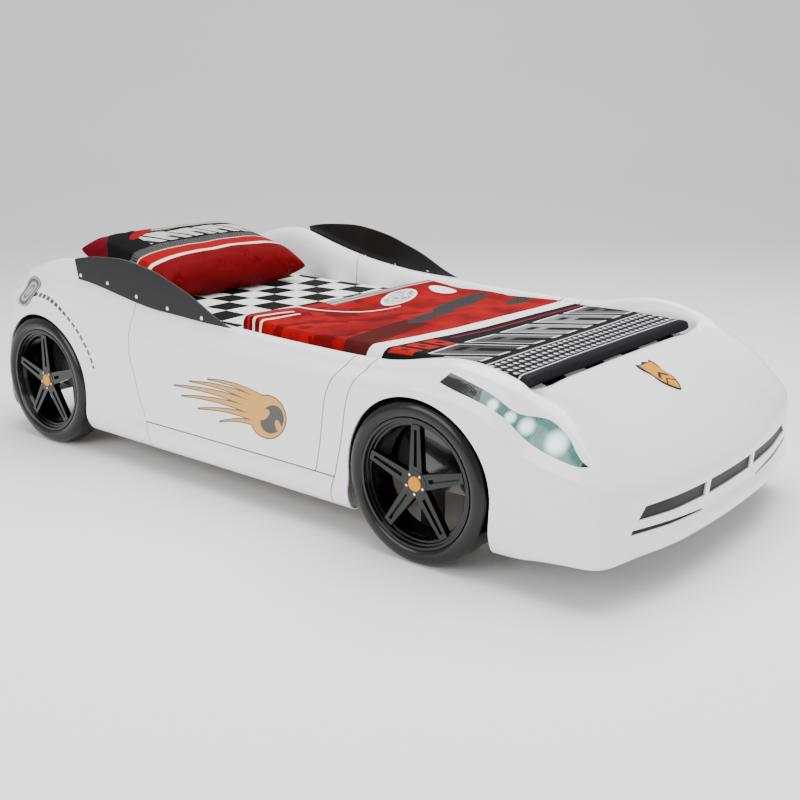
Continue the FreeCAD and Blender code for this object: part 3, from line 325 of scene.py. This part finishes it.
ball = blob(-0.118, 0.280, 0.070, 0.060, -0.15)
heart = blob(-0.135, 0.276, 0.046, 0.040, -0.3)
core = blob(-0.105, 0.284, 0.022, 0.014, -0.5)
spark = blob(-0.158, 0.262, 0.012, 0.016, 0.4)
GOLD = (0.66, 0.29, 0.0)
for mask, shade in (
    (either(outlines + [ball.under(1.06)]), INK),
    (either(golds + [ball.under(1.0)]), GOLD),
    (heart.under(1.0), INK),
    (either([core.under(1.0), spark.under(1.0)]), GOLD),
):
    white = door_white.mix(mask * abs(door_white.x).over(0.45), white, shade)
door_white.set(base_color=white)
dress(both("door_panel"), door_white)

# ---------------------------------------------------------------- door lines and arch liners
# Black strips fill the gaps round the doors, and black tunnels close the wheel arches behind the tyres.
line_black = moulded_finish("line_black", (0.012, 0.012, 0.013), 0.45, 600.0)
dress(both("door_trim"), line_black)
liner_names = [f"{side}_{place}_arch_liner" for side in ("right", "left") for place in ("front", "rear")]
dress(liner_names, moulded_finish("liner_black", (0.015, 0.015, 0.016), 0.6, 260.0))

# ---------------------------------------------------------------- window panels
# Satin black acrylic sheets, cut to a long arc and fixed to the rim by five domed chrome screws each.
panel_black = moulded_finish("panel_black", (0.002, 0.002, 0.0025), 0.35, 900.0, coat=0.08)
dress(both("window_panel"), panel_black)
chrome = Finish("screw_chrome", metallic=1.0)
smears = chrome.noise(90.0, 3.0)
chrome.set(base_color=chrome.mix(smears, (0.86, 0.86, 0.88), (0.72, 0.73, 0.76)))
chrome.set(roughness=smears * 0.1 + 0.08)
chrome.bump(chrome.noise(1500.0, 2.0), 0.00005)
dress(["window_screws", "hub_bolts"], chrome)

# ---------------------------------------------------------------- headlights
# A clear aqua lens over a chromed tray. Four LED domes glow through it and the rear end stays black.
# Each LED: y, z and the radius of its glow.
LEDS = ((-0.848, 0.447, 0.013), (-0.893, 0.425, 0.013), (-0.932, 0.409, 0.018), (-1.008, 0.384, 0.026))
lens = Finish("lens_aqua", coat_weight=0.35, coat_roughness=0.02, roughness=0.12, emission_strength=2.2)
glow = either([(from_point(lens, y, z) / radius).ramp(0.35, 1.35, 1.0, 0.0) for y, z, radius in LEDS])
flute = (lens.y * 900.0 + lens.z * 500.0).sine() * 0.5 + 0.5
lit = lens.y.within(-1.076, -0.815)
cells = lens.noise(60.0, 2.0)
tray = lens.mix(cells * 0.6 + flute * 0.2, (0.004, 0.03, 0.026), (0.12, 0.34, 0.29))
lens.set(base_color=lens.mix(lit, (0.008, 0.009, 0.01), tray))
bright = lens.mix(glow, (0.004, 0.022, 0.018), (0.80, 1.0, 0.97))
lens.set(emission_color=lens.mix(lit, (0.0, 0.0, 0.0), bright))
lens.bump(flute * 0.2 + cells, 0.0006)
dress(both("headlight_lens"), lens)
tray_finish = Finish("reflector_aqua", metallic=0.8)
ripple = (tray_finish.y * 420.0).sine() * 0.5 + 0.5
tray_finish.set(base_color=tray_finish.mix(ripple, (0.25, 0.55, 0.5), (0.5, 0.8, 0.76)))
tray_finish.set(roughness=ripple * 0.1 + 0.2)
dress(both("headlight_reflector"), tray_finish)
led = Finish("led_white", emission_strength=3.0, roughness=0.3)
grainy = led.noise(300.0)
led.set(base_color=led.mix(grainy, (0.8, 1.0, 0.97), (0.95, 1.0, 1.0)))
led.set(emission_color=led.mix(grainy, (0.5, 1.0, 0.92), (0.9, 1.0, 1.0)))
dress(["headlight_leds"], led)

# ---------------------------------------------------------------- grille mesh
# A sheet of dark diamond mesh behind the bumper's openings.
mesh = Finish("grille_mesh", specular_ior_level=0.2)
pitch = 0.0065
first = abs(((mesh.x + mesh.z * 1.4) / pitch) % 1.0 - 0.5)
second = abs(((mesh.x - mesh.z * 1.4) / pitch) % 1.0 - 0.5)
bars = first.smaller(second).ramp(0.10, 0.20, 1.0, 0.0)
mesh.set(base_color=mesh.mix(bars, (0.001, 0.001, 0.001), (0.035, 0.035, 0.04)))
mesh.set(roughness=0.6 - bars * 0.25)
mesh.bump(bars, 0.002)
dress(["grille_mesh"], mesh)

# ---------------------------------------------------------------- badge and filler caps
# A domed orange shield with a dark border, and two grey discs printed as filler caps.
badge = Finish("badge_orange", coat_weight=0.2, coat_roughness=0.05, specular_ior_level=0.2)
fleck = badge.noise(220.0, 3.0)
shield = badge.mix(fleck * 0.5, (0.58, 0.23, 0.0), (0.68, 0.29, 0.0))
u, v = abs(badge.x / 0.038), (badge.y + 0.995) / 0.057
narrow = (v * -1.0).larger(0.0)
border = (u + narrow * narrow * 0.9).over(0.80).larger(v.over(0.84))
chevrons = abs(v + u * 0.45 - 0.12).under(0.09).larger(abs(v + u * 0.45 + 0.26).under(0.05)) * u.under(0.6)
shield = badge.mix(border.larger(chevrons), shield, (0.010, 0.006, 0.004))
badge.set(base_color=shield, roughness=fleck * 0.1 + 0.25)
badge.bump(fleck, 0.0002)
dress(["bonnet_badge"], badge)
cap = Finish("cap_grey", coat_weight=0.6, coat_roughness=0.08, metallic=0.3)
CAP_Y, CAP_Z = 0.992, 0.494
ring = from_point(cap, CAP_Y, CAP_Z)
dark_ring = either([ring.within(0.013, 0.019), ring.within(0.029, 0.040), ring.over(0.0445)])
brushed = cap.noise(140.0, 4.0)
light_grey = cap.mix(brushed, (0.42, 0.42, 0.43), (0.55, 0.55, 0.56))
cap.set(base_color=cap.mix(dark_ring, light_grey, (0.10, 0.10, 0.11)))
cap.set(roughness=brushed * 0.2 + 0.25)
cap.bump(1.0 - dark_ring, 0.0015)
dress(both("filler_cap"), cap)

# ---------------------------------------------------------------- tail lamps
# Four round red lenses set flush in the tail, moulded with rings of small prisms.
tail_red = Finish("tail_lamp_red", coat_weight=1.0, coat_roughness=0.03, roughness=0.2)
prisms = (tail_red.x * 900.0).sine() * (tail_red.z * 900.0).sine() * 0.5 + 0.5
tail_red.set(base_color=tail_red.mix(prisms, (0.30, 0.004, 0.006), (0.62, 0.02, 0.02)))
tail_red.bump(prisms, 0.0008)
dress(["tail_lamps"], tail_red)

# ---------------------------------------------------------------- wheels
# Moulded black gloss tyres and five-spoke rims, fixed on steel stubs, with orange centre caps.
tyre_black = moulded_finish("tyre_black", (0.0015, 0.0015, 0.0017), 0.24, 120.0, coat=0.15)
rim_black = moulded_finish("rim_black", (0.0015, 0.0015, 0.0017), 0.2, 200.0, coat=0.25)
corners = [f"{side}_{place}" for side in ("right", "left") for place in ("front", "rear")]
dress([c + "_tyre" for c in corners], tyre_black)
dress([c + "_rim" for c in corners], rim_black)
dress([c + "_hub_stub" for c in corners], zinc)
orange = Finish("centre_cap_orange", coat_weight=0.2, coat_roughness=0.04, specular_ior_level=0.2)
speck = orange.noise(400.0, 2.0)
orange.set(base_color=orange.mix(speck, (0.58, 0.23, 0.0), (0.68, 0.29, 0.0)), roughness=speck * 0.1 + 0.22)
orange.bump(speck, 0.0002)
dress(["wheel_centre_caps"], orange)

# ---------------------------------------------------------------- mattress
# A foam block in white ticking, sewn shut round its middle. It fills the well and lifts straight out.
def mesh_object(name, points, faces, body):
    """A smooth-shaded mesh piece that rides on a body."""
    mesh = bpy.data.meshes.new(name)
    mesh.from_pydata(points, [], faces)
    mesh.update()
    piece = bpy.data.objects.new(name, mesh)
    bpy.context.scene.collection.objects.link(piece)
    for face in mesh.polygons:
        face.use_smooth = True
    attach(piece, body)
    return piece


def grid_faces(rows, cols, first=0, flip=False):
    quads = []
    for i in range(rows - 1):
        for j in range(cols - 1):
            a = first + i * cols + j
            quad = (a, a + 1, a + cols + 1, a + cols)
            quads.append(quad[::-1] if flip else quad)
    return quads


def slab(rows, cols, place):
    """Points and faces of a closed slab; place(u, v, side) puts its top (side 1) and bottom (side -1)."""
    points = []
    for side in (1, -1):
        for i in range(rows):
            for j in range(cols):
                points.append(place(j / (cols - 1) * 2 - 1, i / (rows - 1) * 2 - 1, side))
    faces = grid_faces(rows, cols) + grid_faces(rows, cols, rows * cols, True)
    rim = [i * cols + j for i, j in
           [(0, j) for j in range(cols)] + [(i, cols - 1) for i in range(1, rows)]
           + [(rows - 1, j) for j in range(cols - 2, -1, -1)] + [(i, 0) for i in range(rows - 2, 0, -1)]]
    size = rows * cols
    for a, b in zip(rim, rim[1:] + rim[:1]):
        faces.append((b, a, a + size, b + size))
    return points, faces


def smooth(t):
    t = min(1.0, max(0.0, t))
    return t * t * (3 - 2 * t)


MATTRESS_LOW, MATTRESS_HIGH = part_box("mattress")
half_w, half_l = (MATTRESS_HIGH.x - MATTRESS_LOW.x) / 2, (MATTRESS_HIGH.y - MATTRESS_LOW.y) / 2
middle_y = (MATTRESS_LOW.y + MATTRESS_HIGH.y) / 2


def mattress_point(x, y, rise):
    """A place on the mattress top, rising by rise, with the soft dip of an edge."""
    edge = min(half_w - abs(x), half_l - abs(y))
    dip = 0.014 * (1 - smooth(edge / 0.05)) ** 2
    swell = 0.0015 * noise.noise(Vector((x * 4, y * 4, 0)))
    return MATTRESS_HIGH.z - 0.0035 - dip + swell + rise


def mattress_place(u, v, side):
    x, y = u * (half_w - 0.004), middle_y + v * (half_l - 0.004)
    if side > 0:
        return (x, y, mattress_point(x, y - middle_y, -0.0015))
    return (x, y, MATTRESS_LOW.z + 0.001 + 0.006 * smooth(max(abs(u), abs(v)) * 8 - 7))


mattress = mesh_object("mattress_core", *slab(96, 48, mattress_place), "mattress")
ticking = Finish("ticking", specular_ior_level=0.25, roughness=0.85)
weave = (ticking.x * 5200.0).sine() * (ticking.y * 5200.0).sine()
soil = ticking.noise(6.0)
ticking.set(base_color=ticking.mix(soil, (0.80, 0.80, 0.78), (0.72, 0.72, 0.70)))
ticking.bump(weave, 0.0002)
mattress.data.materials.append(ticking.material)
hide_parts("mattress")

# ---------------------------------------------------------------- fitted sheet
# One piece of checked cotton pulled over the mattress and down its sides, with elastic at the hem. The
# print's squares are about as wide as a hand and wander a little where the cloth is pulled.
DROP, PULL = 0.135, 0.0016     # down the sides; height of the pulls in the cloth
sheet_points, sheet_faces, sheet_rest = [], [], []
across = [k / 48 * 2 - 1 for k in range(49)]
down_length = [k / 98 * 2 - 1 for k in range(99)]


def sheet_point(a, b):
    """Where a place on the flat sheet ends up: on top, or folded down a side."""
    x = max(-half_w, min(half_w, a))
    y = max(-half_l, min(half_l, b))
    over_x, over_y = abs(a) - abs(x), abs(b) - abs(y)
    pulls = PULL * noise.noise(Vector((a * 9, b * 3.2, 1.7))) + PULL * noise.noise(Vector((a * 3, b * 11, 4)))
    if over_x <= 0 and over_y <= 0:
        return (x, middle_y + y, mattress_point(x, y, 0.0022 + pulls))
    drop = max(over_x, over_y)
    side = 0.0012 * math.sin(a * 60 + b * 60)
    px = x + math.copysign(0.001 + side * 0.5, a) if over_x > 0 else x
    py = y + math.copysign(0.001 + side * 0.5, b) if over_y > 0 else y
    return (px, middle_y + py, mattress_point(x, y, 0.0015) - drop)


flat_x = [u * half_w for u in across]
flat_y = [v * half_l for v in down_length]
drops = [DROP * k / 6 for k in range(1, 7)]
flat_x = [-half_w - d for d in drops[::-1]] + flat_x + [half_w + d for d in drops]
flat_y = [-half_l - d for d in drops[::-1]] + flat_y + [half_l + d for d in drops]
index = {}
for i, b in enumerate(flat_y):
    for j, a in enumerate(flat_x):
        if abs(a) > half_w + 1e-6 and abs(b) > half_l + 1e-6:
            continue
        index[i, j] = len(sheet_points)
        sheet_points.append(sheet_point(a, b))
        sheet_rest.append((a, b, 0.0))
for i in range(len(flat_y) - 1):
    for j in range(len(flat_x) - 1):
        corners = [(i, j), (i, j + 1), (i + 1, j + 1), (i + 1, j)]
        if all(c in index for c in corners):
            sheet_faces.append(tuple(index[c] for c in corners))


def keep_rest(piece, rest):
    """Remembers where each point of the cloth was when it was printed."""
    held = piece.data.attributes.new("printed_at", "FLOAT_VECTOR", "POINT")
    held.data.foreach_set("vector", [c for p in rest for c in p])


sheet = mesh_object("fitted_sheet", sheet_points, sheet_faces, "mattress")
keep_rest(sheet, sheet_rest)


def printed_cloth(name, **constants):
    """A cloth finish whose x, y and z are places on the flat print."""
    f = Finish(name, specular_ior_level=0.08, **constants)
    f.place = f.node("ShaderNodeAttribute", {"attribute_name": "printed_at"}).out("Vector")
    split = f.node("ShaderNodeSeparateXYZ", {}, {0: f.place})
    f.x, f.y, f.z = (split.out(k) for k in range(3))
    return f


def woven(f, depth=0.00018):
    """Fine cotton weave with the soft creases of washed cloth."""
    threads = (f.x * 3600.0).sine() * (f.y * 3600.0).sine()
    creases = f.noise(24.0, 4.0, 0.6)
    f.set(roughness=creases * 0.12 + 0.72)
    return f.bump(threads * 0.12 + creases * 6.0, depth)


checked = printed_cloth("checked_cotton")
bend_x = checked.noise(2.2, 1.0) * 0.05 + checked.x
bend_y = (checked.x * 7.0).sine() * 0.012 + checked.y
tile = 0.1
odd = ((bend_x / tile + 40.0).whole() + (bend_y / tile + 40.0).whole()) % 2.0
ink = checked.noise(300.0, 2.0)
pale = checked.mix(ink, (0.74, 0.74, 0.72), (0.80, 0.80, 0.78))
checks = checked.mix(odd, pale, checked.mix(ink, INK, (0.008, 0.008, 0.008)))
# The hem at the foot end is painted dark as shade over the slot in front of the duvet.
FOOT_SHADE = (0.012, 0.010, 0.011)
checked.set(base_color=checked.mix(checked.y.under(0.012 - half_l), checks, FOOT_SHADE))
woven(checked)
sheet.data.materials.append(checked.material)
sheet_flat = (2 * (half_w + DROP), 2 * (half_l + DROP))
sheet_flat[0] * sheet_flat[1] - 4 * DROP * DROP


# ---------------------------------------------------------------- duvet
# A thin filled duvet with a printed cotton cover, tucked flat between the walls and rolled at its rear
# edge. The cover's bands run across the bed: studs, slanted blocks, a white sweep, then a red field.
def remeshed(name, points, faces, voxel, body):
    """An even mesh of a closed shape, ready to be simulated."""
    rough = mesh_object(name + "_cut", points, faces, body)
    shrink = rough.modifiers.new("even", "REMESH")
    shrink.mode = "VOXEL"
    shrink.voxel_size = voxel
    even = bpy.data.meshes.new_from_object(rough.evaluated_get(bpy.context.evaluated_depsgraph_get()))
    even.name = name
    spots = [tuple(v.co) for v in even.vertices]
    quads = [tuple(f.vertices) for f in even.polygons]
    bpy.data.objects.remove(rough)
    bpy.data.meshes.remove(even)
    return spots, quads


def settled(piece, push, furthest, stiff, wide):
    """Lets air pressure fill the cover for a few frames, and holds each point near where it was."""
    start = [v.co.copy() for v in piece.data.vertices]
    cloth = piece.modifiers.new("filling", "CLOTH")
    cloth.settings.quality = 5
    cloth.settings.mass = 0.3
    cloth.settings.use_pressure = True
    cloth.settings.uniform_pressure_force = push
    cloth.settings.effector_weights.gravity = 0.0
    cloth.settings.tension_stiffness = stiff
    cloth.settings.compression_stiffness = stiff
    cloth.settings.bending_stiffness = 0.4
    cloth.settings.shrink_min = -wide
    cloth.point_cache.frame_end = 20
    for frame_number in range(1, 21):
        bpy.context.scene.frame_set(frame_number)
    filled = piece.evaluated_get(bpy.context.evaluated_depsgraph_get()).data
    ends = [v.co.copy() for v in filled.vertices]
    piece.modifiers.remove(cloth)
    bpy.context.scene.frame_set(1)
    out = []
    for a, b in zip(start, ends):
        step = b - a
        if step.length > furthest:
            step *= furthest / step.length
        out.append(a + step)
    return out


def finish_soft(piece, spots, low, high):
    """Puts the cover's points in place, inside the room it has, and rounds it once."""
    for v, p in zip(piece.data.vertices, spots):
        v.co = [max(a, min(b, c)) for a, b, c in zip(low, high, p)]
    piece.data.update()
    rounding = piece.modifiers.new("rounding", "SUBSURF")
    rounding.levels = rounding.render_levels = 1


duvet_low, duvet_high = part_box("duvet")
front_y, back_y = duvet_low.y - 0.002, duvet_high.y - 0.004
duvet_half = duvet_high.x - 0.004


def duvet_place(u, v, side):
    x, y = u * duvet_half, (front_y + back_y) / 2 + v * (back_y - front_y) / 2
    along = (v + 1) / 2
    curl = 0.02 * smooth((along - 0.9) / 0.1) * smooth((-u - 0.5) / 0.5)
    deep = 0.022 + 0.004 * smooth(along / 0.3) + 0.014 * smooth((along - 0.8) / 0.2)
    edge = min(duvet_half - abs(x), (back_y - y) * 0.8, (y - front_y) * 3 + 0.018)
    round_off = math.sqrt(max(0.0, 1 - (1 - min(1.0, edge / 0.022)) ** 2))
    folds = noise.noise(Vector((x * 3.2 + y * 2.0, y * 5.5 - x * 1.5, 0.4)))
    ripples = noise.noise(Vector((x * 9, y * 14 + x * 6, 5.0)))
    lift = (0.0045 * folds + 0.0022 * ripples) * (0.35 + 0.65 * along)
    base = duvet_low.z + 0.001
    if side < 0:
        return (x, y + curl * 0.3, base + curl * 0.1)
    return (x, y - curl * 0.2, base + 0.004 + (deep + lift + curl) * round_off)


spots, quads = remeshed("duvet_cover", *slab(120, 100, duvet_place), 0.0065, "duvet")
duvet = mesh_object("duvet_cover", spots, quads, "duvet")
keep_rest(duvet, spots)
room_low = (duvet_low.x - 0.004, duvet_low.y - 0.001, duvet_low.z)
room_high = (duvet_high.x + 0.004, duvet_high.y + 0.006, duvet_high.z + 0.008)
finish_soft(duvet, settled(duvet, 2.5, 0.007, 12.0, 0.015), room_low, room_high)

cover = printed_cloth("duvet_print")
x, y = cover.x, cover.y
tint = cover.noise(11.0, 3.0)
colour = cover.mix(tint.ramp(0.35, 0.7), (0.27, 0.0, 0.0016), (0.13, 0.0, 0.0012))


def oval(f, cx, cy, rx, ry, lean=0.0):
    """Grows from 0 at the middle to 1 on the outline of a leaning oval."""
    return (((f.x - cx) / rx) ** 2.0 + ((f.y - cy - (f.x - cx) * lean) / ry) ** 2.0).root()


def paint(f, under, shade, mask):
    return f.mix(mask, under, shade)


shade_lines = ((x * 3.0 + y * 8.0 + tint * 2.0) * 6.0).sine().over(0.55) * y.over(-0.32) * x.under(0.0)
colour = paint(cover, colour, (0.07, 0.0, 0.0008), shade_lines * 0.7)
wedge = (y + 0.27 - x * 0.1).within(-0.055, 0.035) * x.under(-0.12)
colour = paint(cover, colour, (0.055, 0.004, 0.003), wedge)
for cx, cy, rx, ry in ((0.20, -0.21, 0.17, 0.040), (-0.03, -0.27, 0.13, 0.030), (0.36, -0.33, 0.10, 0.03)):
    hatch = ((x * 2.0 + y) * 520.0).sine() * 0.5 + 0.5
    grey = cover.mix(hatch, (0.010, 0.009, 0.009), (0.045, 0.04, 0.04))
    colour = paint(cover, colour, grey, oval(cover, cx, cy, rx, ry, 0.15).under(1.0))
lamp_shape = oval(cover, 0.13, -0.02, 0.10, 0.036, 0.3)
silver = cover.mix(cover.noise(70.0, 4.0, 0.8).ramp(0.35, 0.62), (0.05, 0.05, 0.05), (0.80, 0.79, 0.76))
colour = paint(cover, colour, (0.80, 0.79, 0.77), lamp_shape.under(1.18))
colour = paint(cover, colour, silver, lamp_shape.under(1.0))
sweep = oval(cover, 0.02, 0.16, 0.26, 0.26, 0.0)
colour = paint(cover, colour, (0.80, 0.79, 0.77), sweep.within(0.985, 1.02) * x.under(0.04) * y.over(-0.1))
colour = paint(cover, colour, (0.80, 0.80, 0.79), oval(cover, 0.33, -0.04, 0.045, 0.055, 0.4).under(1.0))
rear = (y - 0.035 - x * 0.06).over(0.0) * x.over(-0.12)
stripes = cover.mix((y * 330.0).sine().over(0.0), (0.10, 0.095, 0.09), (0.38, 0.38, 0.37))
colour = paint(cover, colour, stripes, rear)
hem = x.under(-0.28)
CREAM = (0.78, 0.70, 0.62)
for where, shade in ((0.070, (0.30, 0.006, 0.012)), (0.052, CREAM), (0.028, CREAM)):
    colour = paint(cover, colour, shade, (y + x * 0.12 + 0.045).within(where - 0.004, where + 0.004) * hem)
left_part = x.smaller(0.0)
sweep_y = left_part * left_part * 0.25 - x * 0.05 - 0.455
past = y - sweep_y
colour = paint(cover, colour, (0.82, 0.82, 0.81), past.within(-0.024, 0.026))
black = cover.mix(tint, (0.002, 0.002, 0.002), (0.006, 0.006, 0.006))
colour = paint(cover, colour, black, past.under(-0.024))
colour = paint(cover, colour, (0.20, 0.001, 0.03), past.within(-0.058, -0.050) * x.over(-0.22))
patch_u = ((x + 0.43) / 0.058) % 1.0
patch_v = (past + 0.118) / 0.082
blocks = patch_u.within(0.14, 0.86) * patch_v.within(0.0, 1.0)
holes = patch_u.within(0.40, 0.62) * patch_v.within(0.35, 0.65)
patch = blocks * (1.0 - holes) * x.within(-0.43, -0.255)
colour = paint(cover, colour, (0.32, 0.0, 0.0016), patch)
slant = (x + (y + 0.62) * 0.75 + 0.86) / 0.165
part_of = slant % 1.0
rise = (y + 0.695) / 0.150
plate = part_of.within(0.07, 0.90) * rise.within(0.0, 1.0) * x.within(-0.40, 0.42)
inner = part_of.within(0.105, 0.865) * rise.within(0.045, 0.955)
notch = part_of.within(0.38, 0.62) * rise.under(0.52)
bar = part_of.within(0.36, 0.64) * rise.within(0.66, 0.80)
steel = cover.mix((x * 9.0 + rise).sine() * 0.5 + 0.5, (0.03, 0.03, 0.032), (0.20, 0.20, 0.21))
colour = paint(cover, colour, (0.62, 0.62, 0.63), plate)
colour = paint(cover, colour, steel, plate * inner)
colour = paint(cover, colour, (0.002, 0.002, 0.002), plate * notch.larger(bar))
row = (y + 0.832) / 0.0262
stagger = (row.whole() % 2.0) * 0.5
cell_x = (x / 0.0262 + stagger + 40.0) % 1.0 - 0.5
cell_y = row % 1.0 - 0.5
stud = (cell_x ** 2.0 + cell_y ** 2.0).root()
studs = stud.under(0.36) * row.within(0.0, 4.0)
shine = ((cell_x + 0.10) ** 2.0 + (cell_y - 0.06) ** 2.0).root().ramp(0.04, 0.34, 1.0, 0.0)
colour = paint(cover, colour, cover.mix(shine, (0.10, 0.10, 0.11), (0.86, 0.86, 0.88)), studs)
for where in (-0.7225, -0.8365):
    colour = paint(cover, colour, (0.46, 0.46, 0.47), (y - where).within(-0.0028, 0.0028))
colour = paint(cover, colour, (0.012, 0.012, 0.014), y.under(-0.842))
cover.set(base_color=colour)
woven(cover)
duvet.data.materials.append(cover.material)
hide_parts("duvet")

# ---------------------------------------------------------------- pillow
# A plump pillow in a printed cotton case with pointed corners, propped against the head end. Its front
# is crimson pinstripe, then a cream stripe, a red band, a mesh strip and blocks on black.
pillow_low, pillow_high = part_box("pillow")
PILLOW_L, PILLOW_W, PILLOW_T = 0.66, 0.43, 0.135
TILT = math.radians(13.0)
centre = Vector((0.0, (pillow_low.y + pillow_high.y) / 2, (pillow_low.z + pillow_high.z) / 2))


def pillow_place(u, v, side):
    waist_u, waist_v = 1 - 0.07 * (1 - v * v), 1 - 0.055 * (1 - u * u)
    x, y = u * PILLOW_L / 2 * waist_v, v * PILLOW_W / 2 * waist_u
    full = max(0.0, (1 - u ** 4) * (1 - v ** 4)) ** 0.5
    slack = 0.004 * noise.noise(Vector((x * 11, y * 11, side * 3.0))) * full
    return (x, y, side * (0.003 + PILLOW_T * 0.45 * full) + slack)


spots, quads = remeshed("pillow_case", *slab(90, 120, pillow_place), 0.0055, "pillow")
pillow = mesh_object("pillow_case", spots, quads, "pillow")
keep_rest(pillow, spots)
lean = Matrix.Translation(centre) @ Matrix.Rotation(TILT, 4, "X")
plump = [lean @ p for p in settled(pillow, 4.0, 0.014, 14.0, 0.03)]
finish_soft(pillow, plump, [c - 0.006 for c in pillow_low], [c + 0.008 for c in pillow_high])
for v in pillow.data.vertices:
    v.co.z = max(v.co.z, MATTRESS_HIGH.z + 0.0015)

case = printed_cloth("pillow_print")
x, y, z = case.x, case.y, case.z
case_tint = case.noise(14.0, 3.0)
pin = ((x * 700.0).sine() * 0.5 + 0.5) * 0.35
colour = case.mix(pin + case_tint * 0.3, (0.15, 0.0, 0.0022), (0.055, 0.0, 0.0012))
wave = y - (x * 5.0 + 0.6).sine() * 0.006
upper = z.over(0.004)
for first, last, shade in (
    (-0.118, -0.102, (0.80, 0.72, 0.62)), (-0.102, -0.052, (0.27, 0.0, 0.0018)),
    (-0.052, -0.046, (0.42, 0.41, 0.40)),
):
    colour = paint(case, colour, shade, wave.within(first, last) * upper)
weft = ((x + y) * 420.0).sine() * ((x - y) * 420.0).sine()
netting = case.mix(weft.over(0.25), (0.004, 0.004, 0.004), (0.16, 0.15, 0.15))
colour = paint(case, colour, netting, wave.within(-0.046, -0.004) * upper)
colour = paint(case, colour, (0.003, 0.003, 0.003), wave.within(-0.004, 0.30) * upper)
slant = (x + (y - 0.05) * 0.8 + 0.5) / 0.115
part_of = slant % 1.0
rise = (wave - 0.010) / 0.082
plate = part_of.within(0.07, 0.92) * rise.within(0.0, 1.0) * x.within(-0.20, 0.29) * upper
inner = part_of.within(0.12, 0.87) * rise.within(0.07, 0.93)
notch = part_of.within(0.38, 0.62) * rise.within(0.0, 0.45)
colour = paint(case, colour, (0.60, 0.60, 0.58), plate)
colour = paint(case, colour, case.mix(case_tint, (0.30, 0.30, 0.29), (0.55, 0.55, 0.52)), plate * inner)
colour = paint(case, colour, (0.02, 0.018, 0.018), plate * notch)
back_stripes = case.mix((y * 300.0).sine().over(0.0), (0.05, 0.05, 0.05), (0.50, 0.49, 0.46))
colour = paint(case, colour, back_stripes, wave.within(0.112, 0.30) * x.within(-0.16, 0.26) * upper)
red_patch = oval(case, -0.16, 0.115, 0.07, 0.024, 0.5).under(1.0)
colour = paint(case, colour, (0.22, 0.0, 0.003), red_patch * upper)
corner = (x * -1.0 + y * 0.9).over(0.40)
colour = paint(case, colour, (0.10, 0.0, 0.006), corner)
case.set(base_color=colour)
woven(case, 0.0002)
pillow.data.materials.append(case.material)
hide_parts("pillow")

# ---------------------------------------------------------------- floor and light
# A pale floor that runs up into a pale backdrop, lit by large soft panels.
floor_mesh = bmesh.new()
profile = [(-9.0, 0.0), (5.0, 0.0), (6.5, 0.3), (7.6, 1.2), (8.2, 3.0), (8.4, 9.0)]
rows = []
away = Vector((sight.x, sight.y, 0.0)).normalized()
across = Vector((-away.y, away.x, 0.0))
for far, height in profile:
    base = away * far + Vector((0, 0, height))
    rows.append([floor_mesh.verts.new(base + across * side) for side in (-14.0, 14.0)])
for a, b in zip(rows, rows[1:]):
    floor_mesh.faces.new((a[0], a[1], b[1], b[0]))
data = bpy.data.meshes.new("studio_floor")
floor_mesh.to_mesh(data)
floor_mesh.free()
floor = bpy.data.objects.new("studio_floor", data)
bpy.context.scene.collection.objects.link(floor)
for face in data.polygons:
    face.use_smooth = True
paper = Finish("studio_paper", specular_ior_level=0.2)
fibre = paper.noise(30.0, 4.0)
paper.set(base_color=paper.mix(fibre, (0.92, 0.92, 0.92), (0.94, 0.94, 0.94)), roughness=fibre * 0.1 + 0.7)
data.materials.append(paper.material)

world = bpy.data.worlds.new("studio")
bpy.context.scene.world = world
world.use_nodes = True
world.node_tree.nodes["Background"].inputs["Color"].default_value = (1.0, 1.0, 1.0, 1.0)
world.node_tree.nodes["Background"].inputs["Strength"].default_value = 0.78


def soft_panel(name, place, size, power):
    light = bpy.data.lights.new(name, "AREA")
    light.shape = "RECTANGLE"
    light.size, light.size_y = size
    light.energy = power
    lamp = bpy.data.objects.new(name, light)
    bpy.context.scene.collection.objects.link(lamp)
    lamp.location = place
    lamp.rotation_euler = (Vector((0, 0, 0.3)) - Vector(place)).to_track_quat("-Z", "Y").to_euler()


soft_panel("overhead", (0.3, -0.5, 3.6), (4.5, 3.5), 260.0)
soft_panel("side", (-4.2, 0.8, 2.0), (3.0, 2.0), 90.0)
soft_panel("front", (0.5, -4.6, 1.8), (3.0, 1.6), 30.0)
